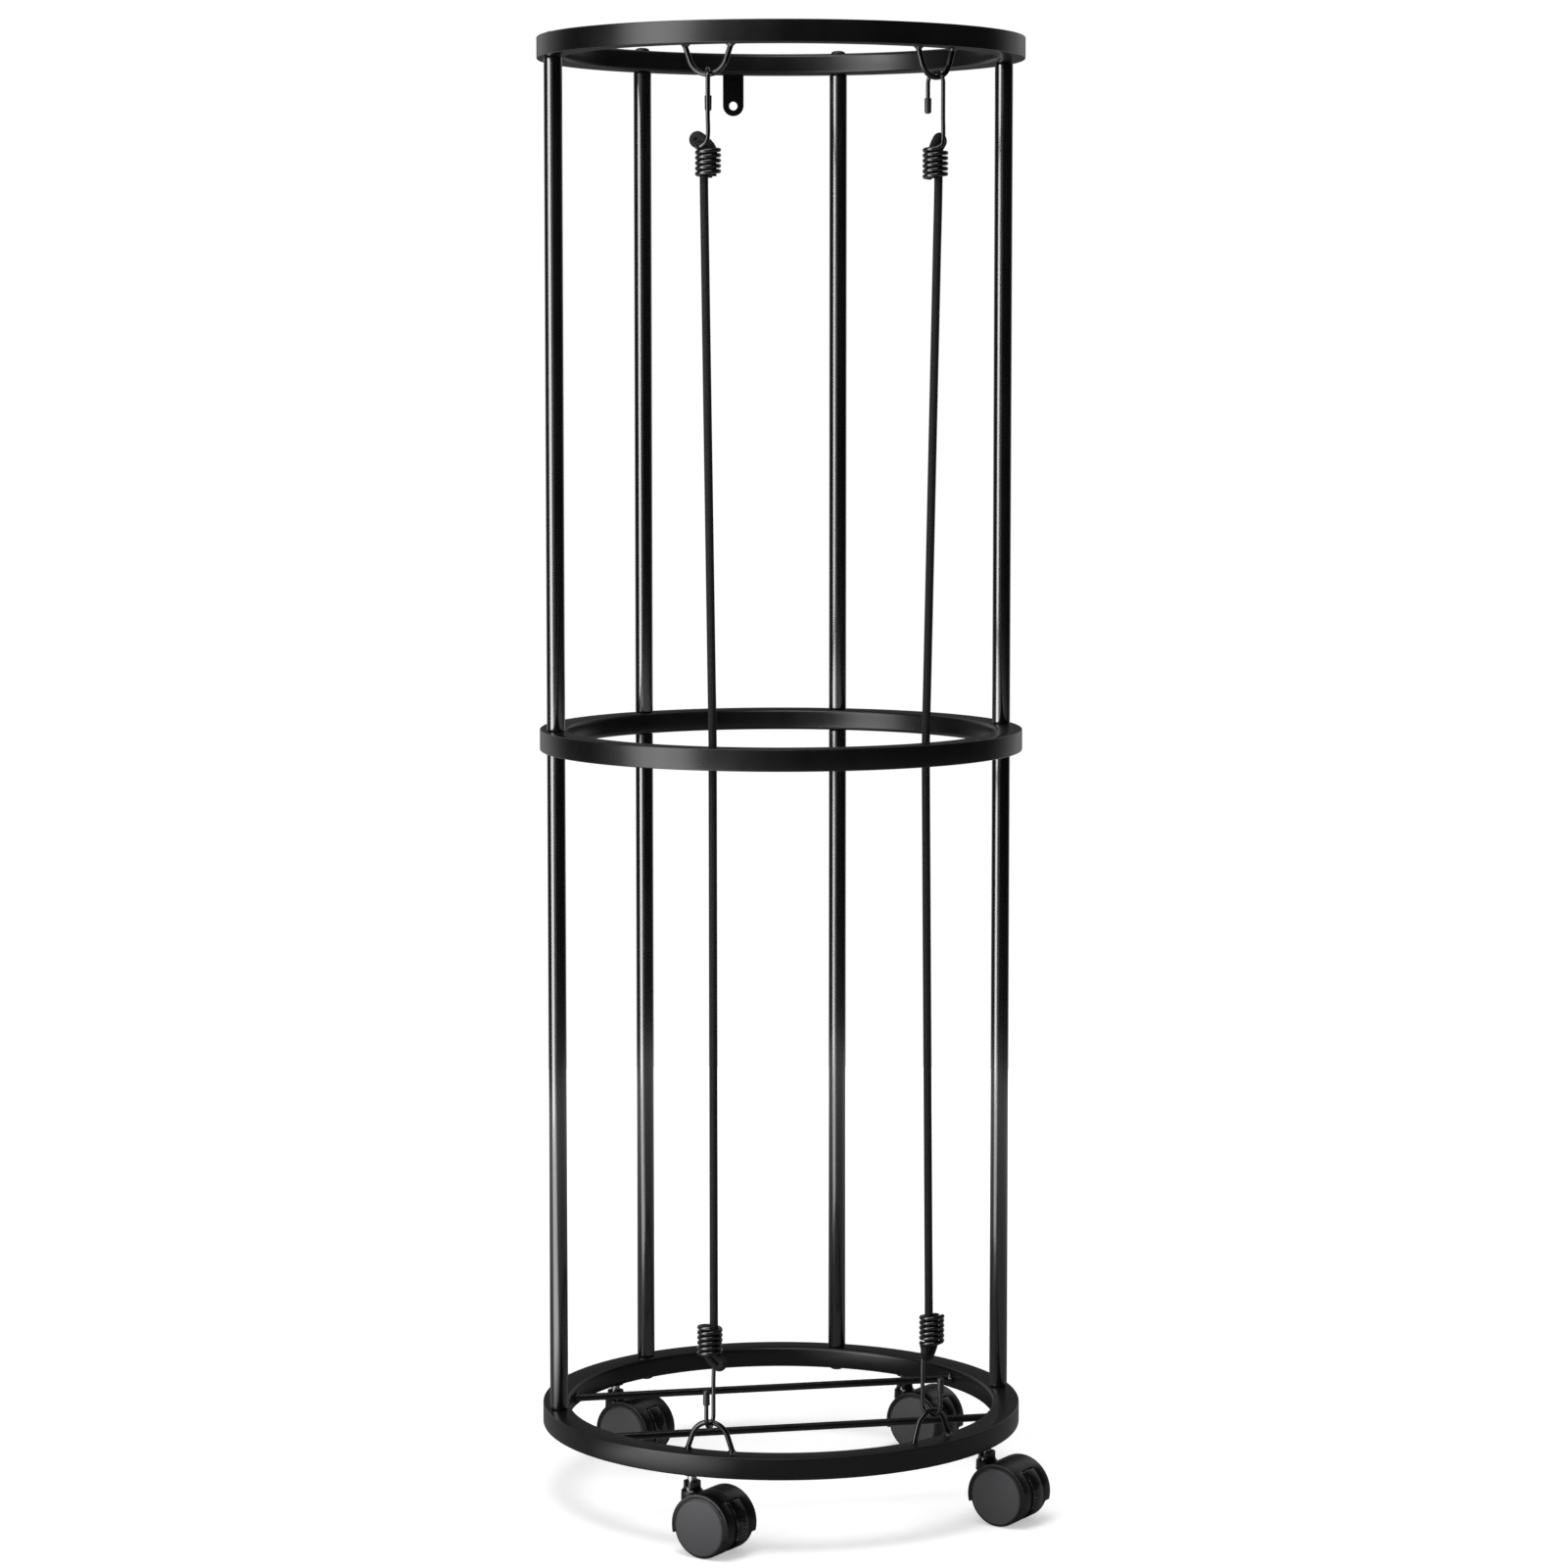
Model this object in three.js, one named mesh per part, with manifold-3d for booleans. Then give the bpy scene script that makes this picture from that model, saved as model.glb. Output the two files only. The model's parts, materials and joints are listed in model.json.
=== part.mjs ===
// Ball cart: a tall round cage of black steel tube on four braked twin-wheel castors.
// Two elastic cords with wire hooks close its open front, from the top ring to the base ring.
// Millimetres, +Z up, front towards -Y, origin on the cage's axis at floor level.
import * as THREE from "three";
import { mergeVertices } from "three/addons/utils/BufferGeometryUtils.js";
import Module from "manifold-3d";

const wasm = await Module();
wasm.setup();

// Clearances
const seatGap = 0.2; // film of paint between pieces that are bolted or welded face to face
const fitGap = 0.3; // round a shaft, a bolt or a pin
const runGap = 0.6; // between a wheel and the housing that it turns in
const overrun = 2; // how far a cut runs past the face that it opens

// Rings of rectangular tube
const ringOuterRadius = 160;
const ringWidth = 18;
const ringHeight = 14;
const ringWall = 1.2;
const ringInnerEase = 2.6;
const ringSpacing = 453; // from one ring's underside to the next one's
const ringClearance = 50; // from the floor to the base ring's underside
const ringSides = 48;
const ringBoreSides = 24;

// Posts
const postRadius = 6;
const postWall = 1.2;
const postPlug = 14; // threaded plug welded into a post's end
const postSides = 12;
const postAngles = { right: 0, back_right: 63, back_left: 117, left: 180 };

// Bolts, and the studs that join an upper post to a lower one
const boltRadius = 2.5;
const boltReach = 11; // thread inside a post's plug
const boltHeadRadius = 4.85;
const boltHeadRim = 0.6;
const boltHeadHeight = 2;
const boltSides = 10;
const domeWidthShare = 0.7;
const domeHeightShare = 0.85;

// Wall tab
const tabAngle = 90;
const tabWidth = 14.4;
const tabDrop = 27.6; // below the ring
const tabLap = 10; // on the ring's outer face
const tabThickness = 2;
const tabHoleRadius = 3;
const tabHoleRise = 6.9; // from the tab's end to the hole's centre
const tabArcSteps = 12;

// Cord loops, bent from wire and welded to the top and base rings
const cordAngles = { left: 240, right: 300 };
const loopInset = 14; // from the rings' outer face to the middle of the loops
const loopWireRadius = 1.75;
const loopFootReach = 14.9; // from the loop's middle to the middle of a foot
const loopFootRise = 2;
const loopArcRadius = 12.6;
const loopDepth = 18.3; // from the ring to the middle of the wire at the crown
const loopArcSteps = 9;
const loopSides = 6;

// Cord hooks: one wire, coiled round the doubled end of a cord and bent over a loop
const hookWireRadius = 1.15;
const hookCoilSpacing = 3.3;
const hookCoilTurns = 5.4;
const hookCurlSteps = 8;
const hookShaft = 41; // from the coil's end to the middle of the bend
const hookTurnIn = 38; // degrees of the last curl, given up to the turn into the shaft
const hookLegTurn = 2.2; // rise of the wire over the first part of that turn
const hookLegSettle = 5.5; // rise of the wire over the whole of it
const hookBendSteps = 8;
const hookTip = 16; // from the middle of the bend to the wire's end
const hookSides = 5;
const hookTwists = { top_left: 18, lower_left: 0, top_right: 0, lower_right: 14 }; // degrees, round the load line

// Tip caps on the hooks
const capRadius = 2.2;
const capLength = 9.8;
const capGrip = 7;
const capEase = 1;
const capSides = 8;

// Elastic cords
const cordRadius = 2.5;
const cordStrandOffset = 2.7; // of each strand of the doubled end from the coil's middle
const coilGap = 0.55; // between those strands and the hook's coil
const hookCoilRadius = cordStrandOffset + cordRadius + coilGap + hookWireRadius;
const cordTail = 2; // of the cut end past the coil
const cordBightRise = 3; // of both strands before they fold over
const cordBightLean = 20; // degrees, sideways
const cordLeans = { left: 1, right: -1 }; // the side that a cord's top bight leans to
const cordLead = 5; // straight below a coil, before the cord leans to the middle ring
const cordRunSteps = 8;
const cordBightSteps = 6;
const cordSides = 8;

// Floor bars across the base ring
const barRadius = 2.5;
const barOffset = 54;
const barSides = 12;

// Castors: stem, hood, axle, two wheels and a brake lever each
const castorAngles = { front_left: 236, front_right: 322, back_right: 43, back_left: 128 };
const castorHeading = 315; // the way that every wheel trails behind its stem
const castorTrail = 17;
const wheelRadius = 20;
const wheelInnerFace = 3.4;
const wheelWidth = 13.4;
const wheelTreadEase = 1.2;
const hubRadius = 17.6;
const hubProud = 1.6;
const hubDome = 0.7;
const wheelSides = 24;
const axleRadius = 2.5;
const axleEndInset = 4;
const axleSides = 12;
const hoodWall = 1.7;
const hoodFlange = 1.5;
const hoodFlangeLip = 0.7; // from the flange's inner edge to the hub
const hoodWeb = 2.8; // half the thickness of the web between the wheels
const hoodRearAngle = -15;
const hoodFrontAngle = 195;
const hoodArcStep = 15;
const neckRadius = 5.6;
const neckRise = 3.2; // from the neck's top to the ring
const neckRoot = 8; // below the pin's end, along the hood's front
const neckSides = 12;
const stemPinRadius = 3;
const stemPinDepth = 9.5;
const stemFlangeRadius = 5.5;
const stemFlangeHeight = 1.2;
const stemThreadRadius = 3.6;
const stemThreadReach = 6;
const stemSides = 12;
const leverWidth = 12;
const leverThickness = 2.1;
const leverLift = 0.6; // of the lever's inner face over the housing's inner face
const leverTopAngle = 49;
const leverSlotAngle = 3; // from the lever's top to the end of its slot
const leverTailAngle = -21;
const leverSlotTail = -28; // the slot's lower end, past the hood's rear
const leverRibs = 4;
const leverRibHeight = 0.7;
const leverRibArc = 3;
const leverRibTopAngle = 8;

// Directions and counts derived from the sizes above
const ringInnerRadius = ringOuterRadius - ringWidth;
const ringMiddleRadius = ringOuterRadius - ringWidth / 2;
const loopCircleRadius = ringOuterRadius - loopInset;
const baseRingZ = ringClearance;
const middleRingZ = baseRingZ + ringSpacing;
const topRingZ = middleRingZ + ringSpacing;
const postLength = ringSpacing - ringHeight - 2 * seatGap;

const powderBlack = new THREE.MeshStandardMaterial({ color: 0x17181a, roughness: 0.45, metalness: 0.2 });
const wireBlack = new THREE.MeshStandardMaterial({ color: 0x0e0e0f, roughness: 0.35, metalness: 0.3 });
const boltBlack = new THREE.MeshStandardMaterial({ color: 0x1c1c1e, roughness: 0.35, metalness: 0.6 });
const cordBlack = new THREE.MeshStandardMaterial({ color: 0x101010, roughness: 0.9, metalness: 0 });
const capBlack = new THREE.MeshStandardMaterial({ color: 0x0c0c0c, roughness: 0.55, metalness: 0 });
const plasticBlack = new THREE.MeshStandardMaterial({ color: 0x141414, roughness: 0.4, metalness: 0 });
const hubGrey = new THREE.MeshStandardMaterial({ color: 0x3a3a3b, roughness: 0.6, metalness: 0 });
const zincSteel = new THREE.MeshStandardMaterial({ color: 0x9a9c9e, roughness: 0.3, metalness: 0.9 });

const radians = THREE.MathUtils.degToRad;

// A curve through points that are also the places of a tube's sections.
class StepCurve extends THREE.CatmullRomCurve3 {
  getUtoTmapping(u) {
    return u;
  }
}

// A closed geometry as a solid that can be joined and cut.
function solid(geometry) {
  const bare = geometry.clone();
  bare.deleteAttribute("normal");
  bare.deleteAttribute("uv");
  const merged = mergeVertices(bare);
  const corners = new Uint32Array(merged.index.array);
  const vertices = merged.attributes.position.array;
  return new wasm.Manifold(new wasm.Mesh({ numProp: 3, vertProperties: vertices, triVerts: corners }));
}

// A solid's surface as a geometry.
function surface(made) {
  const { vertProperties, triVerts } = made.getMesh();
  const geometry = new THREE.BufferGeometry();
  geometry.setAttribute("position", new THREE.BufferAttribute(vertProperties, 3));
  geometry.setIndex(new THREE.BufferAttribute(triVerts, 1));
  return geometry;
}

// A profile of [radius, height] pairs turned about Z. Its points run counter-clockwise.
function turned(profile, sides) {
  const points = profile.map(([radius, height]) => new THREE.Vector2(radius, height));
  return new THREE.LatheGeometry(points, sides).rotateX(Math.PI / 2);
}

// A turned profile that closes on itself and keeps off the axis.
function turnedLoop(profile, sides) {
  return turned([...profile, profile[0]], sides);
}

// A round rod along Z between two heights.
function rod(radius, low, high, sides) {
  return new THREE.CylinderGeometry(radius, radius, high - low, sides)
    .rotateX(Math.PI / 2)
    .translate(0, 0, (low + high) / 2);
}

// A round tube of wire or cord with a section at each point of its route.
function wire(route, radius, sides) {
  const section = new THREE.Shape();
  for (let side = 0; side < sides; side += 1) {
    const angle = (2 * Math.PI * side) / sides;
    const x = radius * Math.cos(angle);
    const y = radius * Math.sin(angle);
    if (side === 0) section.moveTo(x, y);
    else section.lineTo(x, y);
  }
  section.closePath();
  const points = route.map(([x, y, z]) => new THREE.Vector3(x, y, z));
  const extrudePath = new StepCurve(points, false, "centripetal");
  return new THREE.ExtrudeGeometry(section, { steps: points.length - 1, extrudePath, curveSegments: 1 });
}

// A sector of a ring in the XZ plane, between two widths along Y.
function arcPlate(innerRadius, outerRadius, fromAngle, toAngle, low, high) {
  const outline = new THREE.Shape();
  const steps = Math.max(2, Math.round((toAngle - fromAngle) / hoodArcStep));
  const stations = Array.from({ length: steps + 1 }, (_, i) => i / steps);
  const angleAt = (share) => radians(fromAngle + (toAngle - fromAngle) * share);
  const outer = stations.map((share) => [outerRadius, angleAt(share)]);
  const inner = innerRadius > 0 ? stations.map((share) => [innerRadius, angleAt(1 - share)]) : [[0, 0]];
  [...outer, ...inner].forEach(([radius, angle], i) => {
    const x = radius * Math.cos(angle);
    const y = radius * Math.sin(angle);
    if (i === 0) outline.moveTo(x, y);
    else outline.lineTo(x, y);
  });
  outline.closePath();
  return new THREE.ExtrudeGeometry(outline, { depth: high - low, bevelEnabled: false, steps: 1 })
    .rotateX(Math.PI / 2)
    .translate(0, high, 0);
}

function named(name, geometry, material) {
  const made = new THREE.Mesh(geometry, material);
  made.name = name;
  return made;
}

// A group whose +X points outwards at an angle round the cage.
function station(angle, ...members) {
  const group = new THREE.Group();
  group.rotation.z = radians(angle);
  group.add(...members);
  return group;
}

function moved(object, x, y, z) {
  object.position.set(x, y, z);
  return object;
}

// Upright rods at the given angles, as one list of cutters.
function borings(angles, radius, low, high) {
  return Object.values(angles).map((angle) => {
    const x = ringMiddleRadius * Math.cos(radians(angle));
    const y = ringMiddleRadius * Math.sin(radians(angle));
    return solid(rod(radius, low, high, boltSides).translate(x, y, 0));
  });
}

// One ring of tube, from its underside at zero, with the holes that it needs.
function ringGeometry(cutters) {
  const profile = [
    [ringInnerRadius + ringInnerEase, 0],
    [ringOuterRadius, 0],
    [ringOuterRadius, ringHeight],
    [ringInnerRadius + ringInnerEase, ringHeight],
    [ringInnerRadius, ringHeight - ringInnerEase],
    [ringInnerRadius, ringInnerEase],
  ];
  const bore = [
    [ringInnerRadius + 2 * ringWall, ringWall],
    [ringOuterRadius - ringWall, ringWall],
    [ringOuterRadius - ringWall, ringHeight - ringWall],
    [ringInnerRadius + 2 * ringWall, ringHeight - ringWall],
  ];
  let tube = solid(turnedLoop(profile, ringSides)).subtract(solid(turnedLoop(bore, ringBoreSides)));
  for (const cutter of cutters) tube = tube.subtract(cutter);
  return surface(tube);
}

function rings() {
  const boltHoles = borings(postAngles, boltRadius + fitGap, -overrun, ringHeight + overrun);
  const stemHoles = borings(castorAngles, stemThreadRadius + fitGap, -overrun, ringWall + overrun);
  return [
    moved(named("base_ring", ringGeometry([...boltHoles, ...stemHoles]), powderBlack), 0, 0, baseRingZ),
    moved(named("middle_ring", ringGeometry(boltHoles), powderBlack), 0, 0, middleRingZ),
    moved(named("top_ring", ringGeometry(boltHoles), powderBlack), 0, 0, topRingZ),
  ];
}

// The tube of a post with a bored plug at its top, closed below by the points that are given.
function postProfile(foot) {
  const bore = boltRadius + fitGap;
  const inside = postRadius - postWall;
  return [
    ...foot,
    [postRadius, postLength],
    [bore, postLength],
    [bore, postLength - postPlug],
    [inside, postLength - postPlug],
    [inside, postPlug],
  ];
}

// A lower post is bored at both ends.
function lowerPost() {
  const bore = boltRadius + fitGap;
  return turnedLoop([...postProfile([[bore, 0], [postRadius, 0]]), [bore, postPlug]], postSides);
}

// An upper post carries the stud that passes the middle ring and screws into the lower post.
function upperPost() {
  const stud = ringHeight + 2 * seatGap + boltReach;
  const foot = [
    [0, -stud],
    [boltRadius, -stud],
    [boltRadius, 0],
    [postRadius, 0],
  ];
  return turned([...postProfile(foot), [0, postPlug]], postSides);
}

// A dome-headed bolt that stands on its head's underside at zero, with its shank below.
function bolt() {
  const shank = ringHeight + 2 * seatGap + boltReach;
  return turned(
    [
      [0, -shank],
      [boltRadius, -shank],
      [boltRadius, 0],
      [boltHeadRadius, 0],
      [boltHeadRadius, boltHeadRim],
      [boltHeadRadius * domeWidthShare, boltHeadHeight * domeHeightShare],
      [0, boltHeadHeight],
    ],
    boltSides,
  );
}

function postsAndBolts() {
  const members = [];
  for (const [side, angle] of Object.entries(postAngles)) {
    const lower = named("lower_post_" + side, lowerPost(), powderBlack);
    const upper = named("upper_post_" + side, upperPost(), powderBlack);
    const top = named("top_bolt_" + side, bolt(), boltBlack);
    const base = named("base_bolt_" + side, bolt(), boltBlack);
    base.rotation.x = Math.PI;
    members.push(
      station(
        angle,
        moved(lower, ringMiddleRadius, 0, baseRingZ + ringHeight + seatGap),
        moved(upper, ringMiddleRadius, 0, middleRingZ + ringHeight + seatGap),
        moved(top, ringMiddleRadius, 0, topRingZ + ringHeight + seatGap),
        moved(base, ringMiddleRadius, 0, baseRingZ - seatGap),
      ),
    );
  }
  return members;
}

// A flat tab with a round end and a screw hole, behind the back of the top ring.
function wallTab() {
  const half = tabWidth / 2;
  const outline = new THREE.Shape();
  outline.moveTo(-half, tabLap);
  outline.lineTo(-half, half - tabDrop);
  outline.absarc(0, half - tabDrop, half, Math.PI, 2 * Math.PI, false);
  outline.lineTo(half, tabLap);
  outline.closePath();
  const hole = new THREE.Path();
  hole.absarc(0, tabHoleRise - tabDrop, tabHoleRadius, 0, 2 * Math.PI, true);
  outline.holes.push(hole);
  const options = { depth: tabThickness, bevelEnabled: false, curveSegments: tabArcSteps };
  const plate = new THREE.ExtrudeGeometry(outline, options)
    .rotateX(Math.PI / 2)
    .rotateZ(-Math.PI / 2)
    .translate(tabThickness, 0, 0);
  return station(tabAngle, moved(named("wall_tab", plate, powderBlack), ringOuterRadius + seatGap, 0, topRingZ));
}

// The wire of a cord loop: two feet, two splayed legs and a round crown, standing on zero.
function loopRoute() {
  const crown = loopDepth - loopArcRadius - loopFootRise;
  const span = Math.hypot(loopFootReach, crown);
  const splay = Math.acos(loopArcRadius / span) - Math.atan2(crown, loopFootReach);
  const arc = [];
  for (let step = 0; step <= loopArcSteps; step += 1) {
    const angle = splay + ((Math.PI - 2 * splay) * step) / loopArcSteps;
    arc.push([0, loopArcRadius * Math.cos(angle), loopFootRise + crown + loopArcRadius * Math.sin(angle)]);
  }
  return [
    [0, loopFootReach, 0],
    [0, loopFootReach, loopFootRise],
    ...arc,
    [0, -loopFootReach, loopFootRise],
    [0, -loopFootReach, 0],
  ];
}

// The hook's own frame: the load line is Z, the bend's middle is zero and the shaft is on +X.
const hookBendOffset = hookCoilRadius - hookWireRadius - fitGap - loopWireRadius; // bend's middle to the loop's
const hookCoilTop = -hookShaft;
const hookCoilLength = hookCoilSpacing * hookCoilTurns;

// The hook's wire, from its end in the coil to its end in the tip cap.
function hookRoute() {
  const endAngle = -radians(hookTurnIn);
  const startAngle = endAngle - 2 * Math.PI * hookCoilTurns;
  const steps = Math.round(hookCoilTurns * hookCurlSteps);
  const route = [];
  const coilPoint = (angle, z) => [hookCoilRadius * Math.cos(angle), hookCoilRadius * Math.sin(angle), z];
  const coilBottom = hookCoilTop - hookCoilLength;
  const [startX, startY] = coilPoint(startAngle, coilBottom);
  const lead = 2 * hookWireRadius;
  route.push([startX + lead * Math.sin(startAngle), startY - lead * Math.cos(startAngle), coilBottom]);
  for (let step = 0; step <= steps; step += 1) {
    const share = step / steps;
    const angle = startAngle + (endAngle - startAngle) * share;
    route.push(coilPoint(angle, coilBottom + hookCoilLength * share));
  }
  route.push([hookCoilRadius, -hookWireRadius, hookCoilTop + hookLegTurn]);
  route.push([hookCoilRadius, 0, hookCoilTop + hookLegSettle]);
  route.push([hookCoilRadius, 0, hookCoilTop / 2]);
  for (let step = 0; step <= hookBendSteps; step += 1) {
    const angle = (Math.PI * step) / hookBendSteps;
    route.push([hookCoilRadius * Math.cos(angle), 0, hookCoilRadius * Math.sin(angle)]);
  }
  route.push([-hookCoilRadius, 0, -hookTip / 2]);
  route.push([-hookCoilRadius, 0, -hookTip]);
  return route;
}

// A soft tip pushed over the end of a hook's wire, from its mouth at zero downwards.
function tipCap() {
  const bore = hookWireRadius + fitGap;
  return turned(
    [
      [0, -capLength],
      [capRadius - capEase, -capLength],
      [capRadius, capEase - capLength],
      [capRadius, 0],
      [bore, 0],
      [bore, -capGrip - fitGap],
      [0, -capGrip - fitGap],
    ],
    capSides,
  );
}

// A hook and its cap in the hook's own frame.
function hookPieces(place) {
  const hook = named("cord_hook_" + place, wire(hookRoute(), hookWireRadius, hookSides), wireBlack);
  const cap = named("hook_cap_" + place, tipCap(), capBlack);
  return station(0, hook, moved(cap, -hookCoilRadius, 0, capGrip - hookTip));
}

const topHookZ = topRingZ - seatGap - loopDepth - hookBendOffset;
const lowerHookZ = baseRingZ + ringHeight + seatGap + loopDepth + hookBendOffset;

// The doubled end of a cord, from its cut end through the coil and round the bight to where it leads off.
// The points are [sideways, along], from the end of the coil that faces the bend.
function cordEnd() {
  const lean = radians(cordBightLean);
  const strand = [-hookCoilLength / 2, -hookWireRadius];
  const points = [-hookCoilLength - cordTail, ...strand].map((along) => [cordStrandOffset, along]);
  for (let step = 0; step <= cordBightSteps; step += 1) {
    const angle = (Math.PI * step) / cordBightSteps;
    const across = cordStrandOffset * Math.cos(angle);
    const rise = cordBightRise + cordStrandOffset * Math.sin(angle);
    points.push([
      across * Math.cos(lean) - rise * Math.sin(lean),
      across * Math.sin(lean) + rise * Math.cos(lean),
    ]);
  }
  for (const along of [...strand.reverse(), -hookCoilLength - cordLead]) points.push([-cordStrandOffset, along]);
  return points;
}

// A cord from one cut end to the other: [outwards, sideways, up] in a station's frame.
// It leans inwards to pass inside the middle ring, and its two bights lean to opposite sides.
function cordRoute(lean) {
  const topCoil = topHookZ + hookCoilTop;
  const lowerCoil = lowerHookZ - hookCoilTop;
  const innermost = ringInnerRadius - cordRadius - 2 * fitGap;
  const top = cordEnd().map(([side, along]) => [loopCircleRadius, lean * side, topCoil + along]);
  const lower = cordEnd().map(([side, along]) => [loopCircleRadius, -lean * side, lowerCoil - along]);
  const above = [innermost, 0, middleRingZ + ringHeight];
  const below = [innermost, 0, middleRingZ];
  const between = (from, to) =>
    Array.from({ length: cordRunSteps - 1 }, (_, i) =>
      from.map((value, axis) => value + ((to[axis] - value) * (i + 1)) / cordRunSteps),
    );
  const topLead = top[top.length - 1];
  const lowerLead = lower[lower.length - 1];
  const upperRun = between(topLead, above);
  const lowerRun = between(below, lowerLead);
  return [...top, ...upperRun, above, below, ...lowerRun, ...lower.reverse()];
}

function cordsAndHooks() {
  const members = [];
  for (const [side, angle] of Object.entries(cordAngles)) {
    const topLoop = named("cord_loop_top_" + side, wire(loopRoute(), loopWireRadius, loopSides), powderBlack);
    const lowerLoop = named("cord_loop_lower_" + side, wire(loopRoute(), loopWireRadius, loopSides), powderBlack);
    topLoop.rotation.x = Math.PI;
    const topHook = hookPieces("top_" + side);
    const lowerHook = hookPieces("lower_" + side);
    lowerHook.rotation.y = Math.PI;
    const topTwist = station(hookTwists["top_" + side], topHook);
    const lowerTwist = station(hookTwists["lower_" + side], lowerHook);
    members.push(
      station(
        angle,
        moved(topLoop, loopCircleRadius, 0, topRingZ - seatGap),
        moved(lowerLoop, loopCircleRadius, 0, baseRingZ + ringHeight + seatGap),
        moved(topTwist, loopCircleRadius, 0, topHookZ),
        moved(lowerTwist, loopCircleRadius, 0, lowerHookZ),
        named("elastic_cord_" + side, wire(cordRoute(cordLeans[side]), cordRadius, cordSides), cordBlack),
      ),
    );
  }
  return members;
}

// Two bars across the base ring, their ends cut to the ring's inner face.
function floorBars() {
  const reach = ringInnerRadius - seatGap;
  const disc = solid(rod(reach, -barRadius - overrun, barRadius + overrun, ringSides));
  return Object.entries({ front: -barOffset, back: barOffset }).map(([side, y]) => {
    const bar = rod(barRadius, -ringOuterRadius, ringOuterRadius, barSides).rotateY(Math.PI / 2).translate(0, y, 0);
    const cut = surface(solid(bar).intersect(disc));
    return moved(named("floor_bar_" + side, cut, powderBlack), 0, 0, baseRingZ + ringHeight / 2);
  });
}

// Sizes inside a castor, measured from the wheels' axle
const shellInnerRadius = wheelRadius + runGap + fitGap;
const shellOuterRadius = shellInnerRadius + hoodWall;
const leverInnerRadius = shellInnerRadius + leverLift;
const leverOuterRadius = leverInnerRadius + leverThickness;
const wheelOuterFace = wheelInnerFace + wheelWidth;
const flangeInnerFace = wheelOuterFace + fitGap;
const hoodHalfWidth = flangeInnerFace + hoodFlange;
const axleZ = wheelRadius * Math.cos(Math.PI / wheelSides); // each wheel stands on one of its flats
const neckTopZ = ringClearance - neckRise;
const stemPinZ = neckTopZ - stemPinDepth;

// The stem in the base ring: a pin for the hood, a flange under the ring and a thread in it.
function castorStem() {
  const flangeTop = ringClearance - seatGap;
  return turned(
    [
      [0, stemPinZ],
      [stemPinRadius, stemPinZ],
      [stemPinRadius, flangeTop - stemFlangeHeight],
      [stemFlangeRadius, flangeTop - stemFlangeHeight],
      [stemFlangeRadius, flangeTop],
      [stemThreadRadius, flangeTop],
      [stemThreadRadius, ringClearance + stemThreadReach],
      [0, ringClearance + stemThreadReach],
    ],
    stemSides,
  );
}

// The hood over both wheels: shell, side flanges, middle web, neck, and the bores and slot cut in them.
function castorHood() {
  const flangeRadius = hubRadius + hoodFlangeLip;
  const shell = arcPlate(
    shellInnerRadius, shellOuterRadius, hoodRearAngle, hoodFrontAngle, -hoodHalfWidth, hoodHalfWidth,
  );
  const leftFlange = arcPlate(
    flangeRadius, shellOuterRadius, hoodRearAngle, hoodFrontAngle, flangeInnerFace, hoodHalfWidth,
  );
  const rightFlange = leftFlange.clone().translate(0, -flangeInnerFace - hoodHalfWidth, 0);
  const webBase = (shellInnerRadius + shellOuterRadius) / 2;
  const web = arcPlate(0, webBase, hoodRearAngle, hoodFrontAngle, -hoodWeb, hoodWeb);
  const hub = rod(2 * axleRadius + fitGap, -hoodWeb, hoodWeb, neckSides).rotateX(Math.PI / 2);
  const neck = rod(neckRadius, stemPinZ - neckRoot, neckTopZ, neckSides).translate(-castorTrail, 0, -axleZ);
  const wheelRoom = rod(shellInnerRadius, hoodWeb, flangeInnerFace, wheelSides).rotateX(Math.PI / 2);
  const otherRoom = wheelRoom.clone().translate(0, flangeInnerFace + hoodWeb, 0);
  const neckOnly = solid(neck).subtract(solid(wheelRoom)).subtract(solid(otherRoom));
  const axleBore = rod(axleRadius + fitGap, -hoodWeb - overrun, hoodWeb + overrun, axleSides).rotateX(Math.PI / 2);
  const pinBore = rod(stemPinRadius + fitGap, stemPinZ - fitGap, neckTopZ + overrun, stemSides)
    .translate(-castorTrail, 0, -axleZ);
  const slotHalf = leverWidth / 2 + fitGap;
  const slotInner = shellInnerRadius - fitGap;
  const slotOuter = shellOuterRadius + overrun;
  const slot = arcPlate(slotInner, slotOuter, leverSlotTail, leverTopAngle + leverSlotAngle, -slotHalf, slotHalf);
  return surface(
    solid(shell)
      .add(solid(leftFlange))
      .add(solid(rightFlange))
      .add(solid(web))
      .add(solid(hub))
      .add(neckOnly)
      .subtract(solid(axleBore))
      .subtract(solid(pinBore))
      .subtract(solid(slot)),
  );
}

// A wheel with its hub disc, turned about its axle. Zero is the middle of the castor.
function castorWheel() {
  const bore = axleRadius + fitGap;
  const boreEnd = wheelOuterFace - axleEndInset + fitGap;
  const hubFace = wheelOuterFace + hubProud;
  return turned(
    [
      [0, boreEnd],
      [bore, boreEnd],
      [bore, wheelInnerFace],
      [wheelRadius, wheelInnerFace],
      [wheelRadius, wheelOuterFace - wheelTreadEase],
      [wheelRadius - wheelTreadEase, wheelOuterFace],
      [hubRadius, wheelOuterFace],
      [hubRadius, hubFace],
      [0, hubFace + hubDome],
    ],
    wheelSides,
  ).rotateZ(Math.PI / wheelSides);
}

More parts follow.
